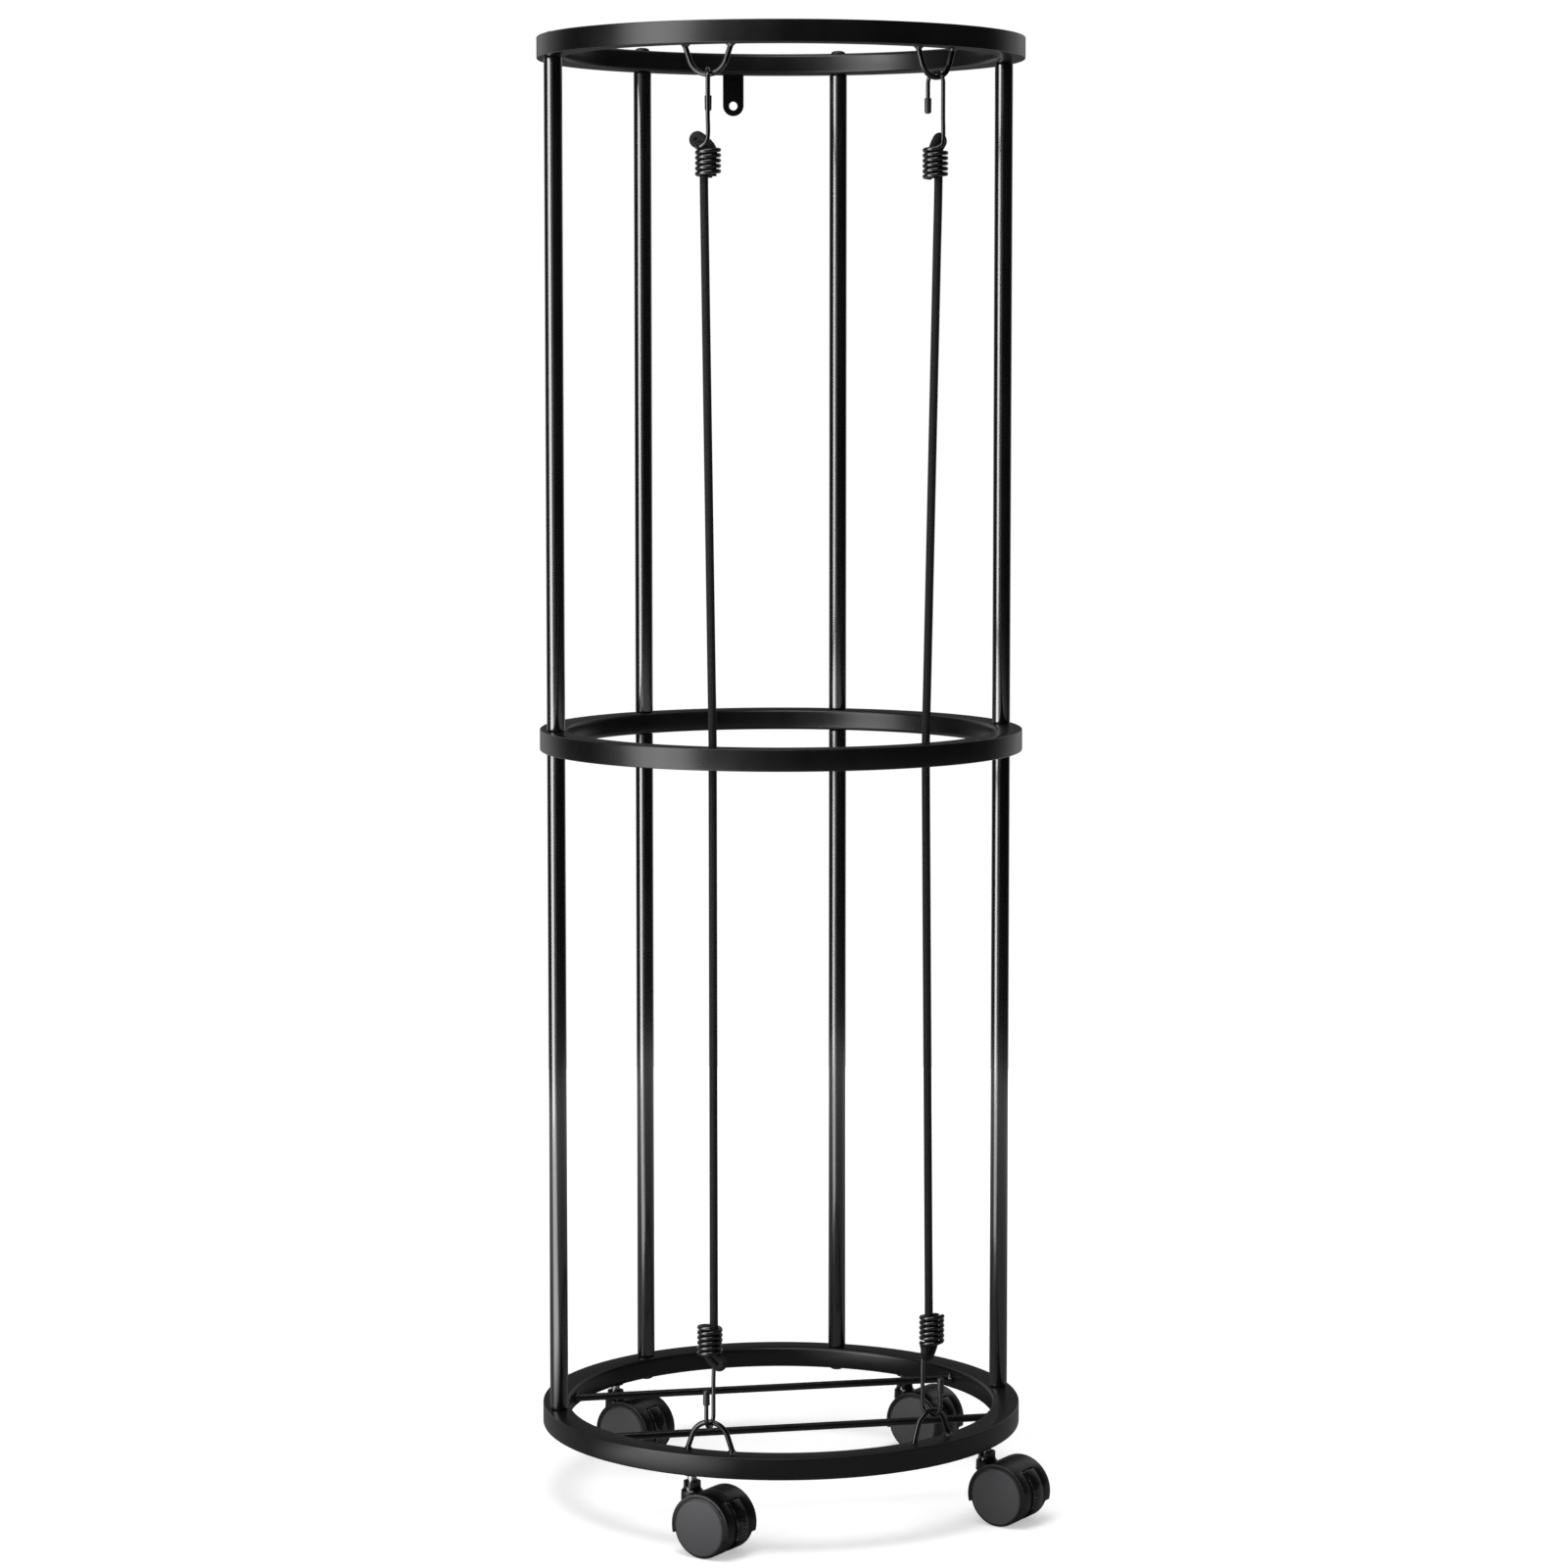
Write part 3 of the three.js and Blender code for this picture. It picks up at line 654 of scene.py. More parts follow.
@dataclass(frozen=True)
class Finish:
    """What every finish shares. Each kind wires its own relief and marks."""

    name: str
    slot: str
    dark: Tone
    light: Tone
    roughness: float
    roughness_spread: float = 0.06
    # How strongly the marked edges take their edge tone: rubbing, and on the hood and hub discs a painted
    # highlight line.
    wear: float = 0.4
    gloss: float = 0.5
    haze: float = 0.35
    # Tone of the marked edges: bare wear, and on the hood and hub discs a painted highlight line along their
    # rims.
    bare: Tone | None = None
    cover: float = 0.0

    @property
    def band(self) -> Pair:
        """The least and the greatest roughness."""
        return self.roughness - self.roughness_spread, self.roughness + self.roughness_spread

    def material(self) -> bpy.types.Material:
        """The finish's material, built once.

        Returns:
            The material.
        """
        made = bpy.data.materials.get(self.name)
        if made is not None:
            return made
        made = bpy.data.materials.new(self.name)
        graph = Graph.of(made)
        shader = graph.add("ShaderNodeBsdfPrincipled", {"Specular IOR Level": self.gloss})
        graph.add("ShaderNodeOutputMaterial", {"Surface": shader.outputs["BSDF"]})
        self.dress(graph, shader)
        return made

    def pattern(self, graph: Graph, kind: Pattern, **inputs: Input) -> bpy.types.Node:
        """Places a shared effect in this material.

        Args:
            graph: the material's graph.
            kind: the effect.
            inputs: its inputs, by name.

        Returns:
            The group's node.
        """
        return graph.add("ShaderNodeGroup", inputs, node_tree=kind.group())

    def rubbed_and_highlit(self, graph: Graph, where: Socket) -> Socket:
        """Places the edge wear with its painted edge highlight.

        Args:
            graph: the material's graph.
            where: the piece's own coordinates.

        Returns:
            The wear's mask.
        """
        edge = graph.add("ShaderNodeAttribute", attribute_name="edge").outputs["Fac"]
        inputs = {"Edge": edge, "Vector": where, "Amount": self.wear, "Cover": self.cover}
        return self.pattern(graph, Pattern.EDGE_WEAR, **inputs).outputs["Mask"]

    def marks(self, graph: Graph, shader: bpy.types.Node) -> Socket:
        """Wires colour and roughness from edge wear with its painted highlight, and from handling.

        Args:
            graph: the material's graph.
            shader: its shader.

        Returns:
            The piece's own coordinates, for the relief.
        """
        where = graph.place()
        worn_and_highlit = self.rubbed_and_highlit(graph, where)
        cloud = self.pattern(graph, Pattern.HANDLING, Vector=where).outputs["Mask"]
        coat = graph.mixed(graph.math("MULTIPLY", cloud, self.haze), self.dark, self.light)
        # Marked edges take the edge tone: wear, and a painted highlight where that tone is pale.
        graph.feed(shader, {"Base Color": graph.mixed(worn_and_highlit, coat, self.bare or self.light)})
        rough = graph.spread(graph.math("MAXIMUM", worn_and_highlit, cloud), *self.band)
        graph.feed(shader, {"Roughness": rough})
        return where

    def relief(self, graph: Graph, shader: bpy.types.Node, height: Socket, depth: float) -> None:
        """Wires a relief of a depth in metres."""
        bump = graph.add("ShaderNodeBump", {"Height": height, "Distance": depth, "Strength": 1.0})
        graph.feed(shader, {"Normal": bump.outputs["Normal"]})

    def dress(self, graph: Graph, shader: bpy.types.Node) -> None:
        """Wires the whole finish. Each kind has its own."""
        raise NotImplementedError


@dataclass(frozen=True)
class PowderCoat(Finish):
    """Satin powder coat on steel tube, with a fine orange peel."""

    peel: float = 0.000005
    peel_scale: float = 620.0
    clear: float = 0.0
    clear_roughness: float = 0.12

    def dress(self, graph: Graph, shader: bpy.types.Node) -> None:
        """Wires the coat's marks and peel.

        Args:
            graph: the material's graph.
            shader: its shader.
        """
        where = self.marks(graph, shader)
        graph.feed(shader, {"Coat Weight": self.clear, "Coat Roughness": self.clear_roughness})
        peel = self.pattern(graph, Pattern.PEEL, Vector=where, Scale=self.peel_scale)
        self.relief(graph, shader, peel.outputs["Height"], self.peel)


@dataclass(frozen=True)
class DippedWire(Finish):
    """Glossy black coat on spring wire, a little uneven from the dip."""

    coat: float = 0.4
    coat_roughness: float = 0.08
    wave_scale: float = 260.0
    wave_depth: float = 0.00001

    def dress(self, graph: Graph, shader: bpy.types.Node) -> None:
        """Wires the dip's slow waves under a clear skin.

        Args:
            graph: the material's graph.
            shader: its shader.
        """
        where = self.marks(graph, shader)
        graph.feed(shader, {"Coat Weight": self.coat, "Coat Roughness": self.coat_roughness})
        waves = self.pattern(graph, Pattern.PEEL, Vector=where, Scale=self.wave_scale)
        self.relief(graph, shader, waves.outputs["Height"], self.wave_depth)


@dataclass(frozen=True)
class BlackOxide(Finish):
    """Blackened steel of the bolts, with a dull metal sheen."""

    metal: float = 0.85
    grain_scale: float = 2600.0
    grain_depth: float = 0.00001

    def dress(self, graph: Graph, shader: bpy.types.Node) -> None:
        """Wires the oxide's grain.

        Args:
            graph: the material's graph.
            shader: its shader.
        """
        where = self.marks(graph, shader)
        graph.feed(shader, {"Metallic": self.metal})
        grain = self.pattern(graph, Pattern.SPECKLE, Vector=where, Scale=self.grain_scale)
        self.relief(graph, shader, grain.outputs["Height"], self.grain_depth)


@dataclass(frozen=True)
class MouldedPlastic(Finish):
    """Polished black nylon, with slow sink waves and faint flow grain."""

    wave_scale: float = 130.0
    grain_scale: float = 2200.0
    grain_share: float = 0.06
    depth: float = 0.00005

    def dress(self, graph: Graph, shader: bpy.types.Node) -> None:
        """Wires the moulding's waves and grain.

        Args:
            graph: the material's graph.
            shader: its shader.
        """
        where = self.marks(graph, shader)
        waves = self.pattern(graph, Pattern.PEEL, Vector=where, Scale=self.wave_scale).outputs["Height"]
        grain = self.pattern(graph, Pattern.SPECKLE, Vector=where, Scale=self.grain_scale).outputs["Height"]
        height = graph.math("ADD", waves, graph.math("MULTIPLY", grain, self.grain_share))
        self.relief(graph, shader, height, self.depth)


@dataclass(frozen=True)
class GrainedPlastic(Finish):
    """Grey plastic with a blasted grain, on the wheels' hub discs."""

    grain: float = 0.00006
    grain_scale: float = 850.0
    cloud_scale: float = 170.0
    cloud_share: float = 0.4

    def dress(self, graph: Graph, shader: bpy.types.Node) -> None:
        """Wires the grain, and a tone that follows it.

        Args:
            graph: the material's graph.
            shader: its shader.
        """
        where = graph.place()
        cloud = self.pattern(graph, Pattern.HANDLING, Vector=where, Scale=self.cloud_scale).outputs["Mask"]
        grain = self.pattern(graph, Pattern.SPECKLE, Vector=where, Scale=self.grain_scale)
        clouded = graph.math("MULTIPLY", cloud, self.cloud_share)
        grained = graph.math("MULTIPLY", grain.outputs["Tone"], 1.0 - self.cloud_share)
        tone = graph.math("ADD", clouded, grained)
        face = graph.mixed(tone, self.dark, self.light)
        # Marked rims take the pale edge tone, a painted highlight line.
        colour = graph.mixed(self.rubbed_and_highlit(graph, where), face, self.bare or self.light)
        graph.feed(shader, {"Base Color": colour})
        graph.feed(shader, {"Roughness": graph.spread(grain.outputs["Tone"], *self.band)})
        self.relief(graph, shader, grain.outputs["Height"], self.grain)


@dataclass(frozen=True)
class SoftVinyl(Finish):
    """Dull black vinyl of the hooks' tip caps."""

    wave_scale: float = 420.0
    depth: float = 0.00005

    def dress(self, graph: Graph, shader: bpy.types.Node) -> None:
        """Wires the dip's waves.

        Args:
            graph: the material's graph.
            shader: its shader.
        """
        where = self.marks(graph, shader)
        waves = self.pattern(graph, Pattern.PEEL, Vector=where, Scale=self.wave_scale)
        self.relief(graph, shader, waves.outputs["Height"], self.depth)


@dataclass(frozen=True)
class BraidedSleeve(Finish):
    """Black braided sleeve of the elastic cords."""

    depth: float = 0.00028
    sheen: float = 0.03
    fuzz_scale: float = 2600.0
    fuzz_share: float = 0.15

    def dress(self, graph: Graph, shader: bpy.types.Node) -> None:
        """Wires the braid from the cord's own length and turn.

        Args:
            graph: the material's graph.
            shader: its shader.
        """
        chart = graph.add("ShaderNodeTexCoord").outputs["UV"]
        yarns = self.pattern(graph, Pattern.BRAID, Vector=chart)
        fuzz = graph.noise(graph.place(), self.fuzz_scale, 2.0, 0.6)
        share = graph.math("MULTIPLY", yarns.outputs["Tone"], graph.spread(fuzz, 0.5, 1.0))
        graph.feed(shader, {"Base Color": graph.mixed(share, self.dark, self.light)})
        rough = graph.spread(yarns.outputs["Height"], *reversed(self.band))
        graph.feed(shader, {"Roughness": rough})
        graph.feed(shader, {"Sheen Weight": self.sheen})
        height = graph.math("ADD", yarns.outputs["Height"], graph.math("MULTIPLY", fuzz, self.fuzz_share))
        self.relief(graph, shader, height, self.depth)


@dataclass(frozen=True)
class BrightZinc(Finish):
    """Bright zinc plate on the castors' turned steel, with fine turning marks."""

    squeeze: float = 14.0
    ring_scale: float = 420.0
    ring_depth: float = 0.00002

    def dress(self, graph: Graph, shader: bpy.types.Node) -> None:
        """Wires the plate's marks and the rings of the turning.

        Args:
            graph: the material's graph.
            shader: its shader.
        """
        where = self.marks(graph, shader)
        graph.feed(shader, {"Metallic": 1.0})
        squeezed = graph.add("ShaderNodeMapping", {"Vector": where, "Scale": (1.0, 1.0, self.squeeze)})
        rings = graph.noise(squeezed.outputs["Vector"], self.ring_scale, 3.0, 0.6)
        self.relief(graph, shader, rings, self.ring_depth)


RING_COAT = PowderCoat(
    "ring_coat", "powder_coat_black", (0.0035, 0.0035, 0.004), (0.009, 0.009, 0.0095),
    roughness=0.31, roughness_spread=0.04, wear=0.4, gloss=0.3,
)
POST_COAT = PowderCoat(
    "post_coat", "powder_coat_black", (0.0025, 0.0025, 0.0028), (0.006, 0.006, 0.0065),
    roughness=0.22, roughness_spread=0.03, wear=0.3, gloss=0.75, peel=0.0000008, peel_scale=260.0, clear=0.7,
)
WIRE_COAT = PowderCoat(
    "wire_coat", "powder_coat_black", (0.002, 0.002, 0.0022), (0.007, 0.007, 0.0072),
    roughness=0.26, roughness_spread=0.04, wear=0.0, gloss=0.5, peel=0.000002,
)
HOOK_DIP = DippedWire(
    "hook_dip", "wire_black", (0.002, 0.002, 0.0022), (0.006, 0.006, 0.006),
    roughness=0.25, roughness_spread=0.04, wear=0.0, gloss=0.5, coat=0.25,
)
BOLT_OXIDE = BlackOxide(
    "bolt_oxide", "bolt_black", (0.016, 0.016, 0.017), (0.05, 0.05, 0.05),
    roughness=0.36, roughness_spread=0.06, wear=0.5,
)
CAP_VINYL = SoftVinyl(
    "cap_vinyl", "cap_black", (0.007, 0.007, 0.007), (0.015, 0.015, 0.015),
    roughness=0.48, roughness_spread=0.06, wear=0.2,
)
CORD_SLEEVE = BraidedSleeve(
    "cord_sleeve", "elastic_black", (0.002, 0.002, 0.002), (0.011, 0.011, 0.0115),
    roughness=0.75, roughness_spread=0.1, wear=0.0, gloss=0.2,
)
# The pale edge tone paints a highlight line on the hood's rounded edges.
HOOD_NYLON = MouldedPlastic(
    "hood_nylon", "plastic_black", (0.003, 0.003, 0.0032), (0.009, 0.009, 0.009),
    roughness=0.3, roughness_spread=0.05, wear=0.95, gloss=0.28, bare=(0.34, 0.34, 0.345), cover=0.14,
)
LEVER_NYLON = MouldedPlastic(
    "lever_nylon", "plastic_black", (0.003, 0.003, 0.0032), (0.009, 0.009, 0.009),
    roughness=0.17, roughness_spread=0.04, wear=0.5, gloss=0.45, bare=(0.1, 0.1, 0.101),
)
TREAD_NYLON = MouldedPlastic(
    "tread_nylon", "plastic_black", (0.006, 0.006, 0.006), (0.014, 0.014, 0.014),
    roughness=0.42, roughness_spread=0.08, wear=0.5, gloss=0.3,
)
# The pale edge tone paints a highlight line round the discs' rims.
HUB_GREY = GrainedPlastic(
    "hub_grey", "hub_grey", (0.006, 0.006, 0.0063), (0.075, 0.075, 0.0755),
    roughness=0.38, roughness_spread=0.1, wear=0.9, gloss=0.45, bare=(0.24, 0.24, 0.242), cover=0.1,
    grain=0.0002,
)
STEM_ZINC = BrightZinc(
    "stem_zinc", "zinc_steel", (0.6, 0.6, 0.6), (0.45, 0.45, 0.46),
    roughness=0.24, roughness_spread=0.07, wear=0.3,
)


# Pieces


BODY_OF = {
    node: body for body, nodes in frame["record"]["behaviour"]["bodies"].items() for node in nodes
}


def mark_edges(shape: Shape) -> None:
    """Marks the narrow faces of the outward roundings with 1 and all others with 0, for the wear and the
    painted edge highlight.

    Args:
        shape: the mesh in millimetres, with its normals up to date.
    """
    layer = shape.loops.layers.float_color.new("edge")
    for face in shape.faces:
        turn = max(edge.calc_face_angle_signed(0.0) for edge in face.edges)
        width = face.calc_area() / max(edge.calc_length() for edge in face.edges)
        level = float(turn > EDGE_TURN and width < EDGE_WIDTH)
        for loop in face.loops:
            loop[layer] = (level, level, level, 1.0)


def finished(name: str, shape: Shape, finish: Finish, *nodes: str) -> bpy.types.Object:
    """Makes a mesh into a piece of the cart.

    Args:
        name: the piece's name.
        shape: its mesh in millimetres, in place. It is used up.
        finish: its finish.
        nodes: the frame's nodes that it stands for. It rides on the first one's body.

    Returns:
        The piece.
    """
    shape.normal_update()
    mark_edges(shape)
    bmesh.ops.scale(shape, vec=(MM, MM, MM), verts=shape.verts[:])
    data = bpy.data.meshes.new(name)
    shape.to_mesh(data)
    shape.free()
    data.shade_smooth()
    data.set_sharp_from_angle(angle=math.radians(SHARP_TURN))
    data.materials.append(finish.material())
    piece = bpy.data.objects.new(name, data)
    bpy.context.scene.collection.objects.link(piece)
    if nodes:
        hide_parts(*nodes)
        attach(piece, BODY_OF[nodes[0]])
    LOG.info("%s: %d faces, %s", name, len(data.polygons), finish.name)
    return piece


@dataclass(frozen=True)
class CageSizes:
    """Sizes in millimetres that several sub-assemblies share."""

    seat_gap: float = 0.2
    ring_outer: float = 160.0
    ring_width: float = 18.0
    ring_height: float = 14.0
    ring_spacing: float = 453.0
    clearance: float = 50.0

    @property
    def ring_inner(self) -> float:
        """The rings' inner radius."""
        return self.ring_outer - self.ring_width

    @property
    def ring_middle(self) -> float:
        """The radius of the rings' middle line."""
        return self.ring_outer - self.ring_width / 2

    def ring_z(self, level: int) -> float:
        """The underside of a ring, counted from the base."""
        return self.clearance + level * self.ring_spacing


CAGE = CageSizes()


@dataclass
class Rings:
    """The three rings of bent rectangular tube."""

    outer_ease: float = 0.7
    inner_ease: float = 2.6
    segments: int = 192

    def ring(self, level: int) -> Shape:
        """One ring with eased corners.

        Args:
            level: its place, counted from the base.

        Returns:
            The closed mesh.
        """
        profile = [
            (CAGE.ring_inner, 0.0),
            (CAGE.ring_outer, 0.0),
            (CAGE.ring_outer, CAGE.ring_height),
            (CAGE.ring_inner, CAGE.ring_height),
        ]
        eases = {0: self.inner_ease, 1: self.outer_ease, 2: self.outer_ease, 3: self.inner_ease}
        shape = turned(profile, self.segments, eases, 4)
        return placed(shape, Matrix.Translation((0.0, 0.0, CAGE.ring_z(level))))

    def build(self) -> list[bpy.types.Object]:
        """Builds and dresses the rings.

        Returns:
            The pieces.
        """
        names = ("base_ring", "middle_ring", "top_ring")
        rings = [self.ring(level) for level in range(len(names))]
        return [finished(name + "_tube", ring, RING_COAT, name) for name, ring in zip(names, rings)]


@dataclass
class Posts:
    """Lower and upper posts with their end plugs, and the bolts that hold them."""

    radius: float = 6.0
    bore: float = 2.8
    end_ease: float = 1.1
    tip_ease: float = 0.5
    segments: int = 48
    stud_radius: float = 2.5
    bolt_reach: float = 11.0
    head_radius: float = 4.85
    head_rim: float = 0.7
    head_height: float = 2.0
    socket_radius: float = 1.5
    socket_depth: float = 1.1
    head_segments: int = 48

    @property
    def length(self) -> float:
        """A post's length between two rings."""
        return CAGE.ring_spacing - CAGE.ring_height - 2 * CAGE.seat_gap

    @property
    def shank(self) -> float:
        """How far a bolt or a stud reaches from the ring's face."""
        return CAGE.ring_height + 2 * CAGE.seat_gap + self.bolt_reach

    def lower(self) -> Shape:
        """A lower post, bored at both ends."""
        profile = [(self.bore, 0.0), (self.radius, 0.0), (self.radius, self.length), (self.bore, self.length)]
        return turned(profile, self.segments, {1: self.end_ease, 2: self.end_ease})

    def upper(self) -> Shape:
        """An upper post with the stud below it.

        Returns:
            The closed mesh.
        """
        profile = [
            (0.0, -self.shank),
            (self.stud_radius, -self.shank),
            (self.stud_radius, 0.0),
            (self.radius, 0.0),
            (self.radius, self.length),
            (self.bore, self.length),
            (self.bore, self.length - self.bolt_reach),
            (0.0, self.length - self.bolt_reach),
        ]
        return turned(profile, self.segments, {3: self.end_ease, 4: self.end_ease, 1: self.tip_ease})

    def bolt(self) -> Shape:
        """A button-headed bolt with a hexagon socket, standing on its head's underside.

        Returns:
            The closed mesh.
        """
        crown = [
            (self.head_radius, 0.0),
            (self.head_radius, self.head_rim),
            (self.head_radius * 0.86, self.head_height * 0.68),
            (self.head_radius * 0.62, self.head_height * 0.92),
            (self.socket_radius * 1.35, self.head_height),
            (self.socket_radius * 1.15, self.head_height - 0.15),
            (self.socket_radius, self.head_height - self.socket_depth),
            (0.0, self.head_height - self.socket_depth - 0.3),
        ]
        profile = [(0.0, -self.shank), (self.stud_radius, -self.shank), (self.stud_radius, 0.0), *crown]
        shape = turned(profile, self.head_segments, {1: self.tip_ease, 3: 0.2, 4: 0.3})
        socket = self.socket_radius * 1.2
        sixth = math.pi / 3
        for vertex in shape.verts:
            out = vertex.co.to_2d().length
            if vertex.co.z > 0 and AXIS_NEAR < out < socket:
                turn = math.atan2(vertex.co.y, vertex.co.x) % sixth - sixth / 2
                flat = math.cos(sixth / 2) / math.cos(turn) * 1.08
                vertex.co.x *= flat
                vertex.co.y *= flat
        return shape

    def build(self) -> list[bpy.types.Object]:
        """Builds and dresses the posts and bolts.

        Returns:
            The pieces.
        """
        pieces = []
        flip = Matrix.Rotation(math.pi, 4, "X")
        for place in PostPlace:
            label = place.label
            feet = [CAGE.ring_z(level) + CAGE.ring_height + CAGE.seat_gap for level in range(3)]
            at = [station(place.value, CAGE.ring_middle, foot) for foot in feet]
            below = station(place.value, CAGE.ring_middle, CAGE.clearance - CAGE.seat_gap) @ flip
            for name, shape, spot, finish, node in (
                ("lower_post_tube_", self.lower(), at[0], POST_COAT, "lower_post_"),
                ("upper_post_tube_", self.upper(), at[1], POST_COAT, "upper_post_"),
                ("top_button_bolt_", self.bolt(), at[2], BOLT_OXIDE, "top_bolt_"),
                ("base_button_bolt_", self.bolt(), below, BOLT_OXIDE, "base_bolt_"),
            ):
                pieces.append(finished(name + label, placed(shape, spot), finish, node + label))
        return pieces


@dataclass
class WallTab:
    """The flat tab with a round end and a screw hole, behind the top ring."""

    angle: float = 90.0
    width: float = 14.4
    drop: float = 27.6
    lap: float = 10.0
    thickness: float = 2.0
    hole_radius: float = 3.0
    hole_rise: float = 6.9
    ease: float = 0.35
    steps: int = 16

    def plate(self) -> Shape:
        """The tab in the YZ plane, its front face on zero.

        Returns:
            The closed mesh.
        """
        half = self.width / 2
        shape = bmesh.new()
        corners = [(-half, self.lap), (-half, -self.drop), (half, -self.drop), (half, self.lap)]
        outline = [shape.verts.new((0.0, y, z)) for y, z in corners]
        shape.faces.new(outline)
        rounded(shape, outline[1:3], half * 0.999, self.steps)
        bmesh.ops.delete(shape, geom=shape.faces[:], context="FACES_ONLY")
        spot = Matrix.Translation((0.0, 0.0, self.hole_rise - self.drop))
        turn = spot @ Matrix.Rotation(math.pi / 2, 4, "Y")
        bmesh.ops.create_circle(shape, segments=2 * self.steps, radius=self.hole_radius, matrix=turn)
        bmesh.ops.triangle_fill(shape, edges=shape.edges[:], use_beauty=True)
        bmesh.ops.recalc_face_normals(shape, faces=shape.faces[:])
        thickened(shape, (self.thickness, 0.0, 0.0))
        return eased(shape, self.ease, 3, 60.0)

    def build(self) -> list[bpy.types.Object]:
        """Builds and dresses the tab."""
        at = station(self.angle, CAGE.ring_outer + CAGE.seat_gap, CAGE.ring_z(2))
        return [finished("wall_tab_plate", placed(self.plate(), at), RING_COAT, "wall_tab")]


@dataclass
class CordLoops:
    """The four loops of bent wire that carry the cords, with the welds at their feet."""

    circle_radius: float = 146.0
    wire_radius: float = 1.75
    foot_reach: float = 14.9
    foot_rise: float = 2.0
    arc_radius: float = 12.6
    depth: float = 18.3
    arc_steps: int = 36
    sides: int = 20
    weld_spread: float = 1.25
    weld_rise: float = 1.7

    def route(self) -> list[Vector]:
        """The middle of the wire, standing on zero.

        Returns:
            Its points, from one foot to the other.
        """
        crown = self.depth - self.arc_radius - self.foot_rise
        span = math.hypot(self.foot_reach, crown)
        splay = math.acos(self.arc_radius / span) - math.atan2(crown, self.foot_reach)
        arc = []
        for step in range(self.arc_steps + 1):
            angle = splay + (math.pi - 2 * splay) * step / self.arc_steps
            y, z = self.arc_radius * math.cos(angle), self.arc_radius * math.sin(angle)
            arc.append(Vector((0.0, y, self.foot_rise + crown + z)))
        feet = [Vector((0.0, self.foot_reach, 0.0)), Vector((0.0, self.foot_reach, self.foot_rise / 2))]
        leg = [feet[1].lerp(arc[0], share) for share in (0.35, 0.7)]
        half = [*feet, *leg]
        mirrored = [Vector((0.0, -point.y, point.z)) for point in reversed(half)]
        return [*half, *arc, *mirrored]

    def loop(self, seed: int) -> Shape:
        """One loop with its two welds.

        Args:
            seed: turns the welds' ripples.

        Returns:
            The mesh, each part closed.
        """
        parts = [swept(self.route(), self.wire_radius, self.sides)]
        for turn, side in enumerate((1, -1)):
            bead = weld(self.wire_radius, self.weld_spread, self.weld_rise, seed + 3 * turn)
            parts.append(placed(bead, Matrix.Translation((0.0, side * self.foot_reach, -CAGE.seat_gap))))
        return joined(*parts)

    def build(self) -> list[bpy.types.Object]:
        """Builds and dresses the loops.

        Returns:
            The pieces.
        """
        pieces = []
        flip = Matrix.Rotation(math.pi, 4, "X")
        for seed, side in enumerate(Side):
            angle = CORD_ANGLES[side]
            top = station(angle, self.circle_radius, CAGE.ring_z(2) - CAGE.seat_gap) @ flip
            low = station(angle, self.circle_radius, CAGE.clearance + CAGE.ring_height + CAGE.seat_gap)
            for end, at in ((End.TOP, top), (End.LOWER, low)):
                name = f"{end.value}_{side.value}"
                shape = placed(self.loop(seed + 5 * len(pieces)), at)
                pieces.append(finished("loop_wire_" + name, shape, WIRE_COAT, "cord_loop_" + name))
        return pieces


CORD_ANGLES = {Side.LEFT: 240.0, Side.RIGHT: 300.0}
LOOPS = CordLoops()


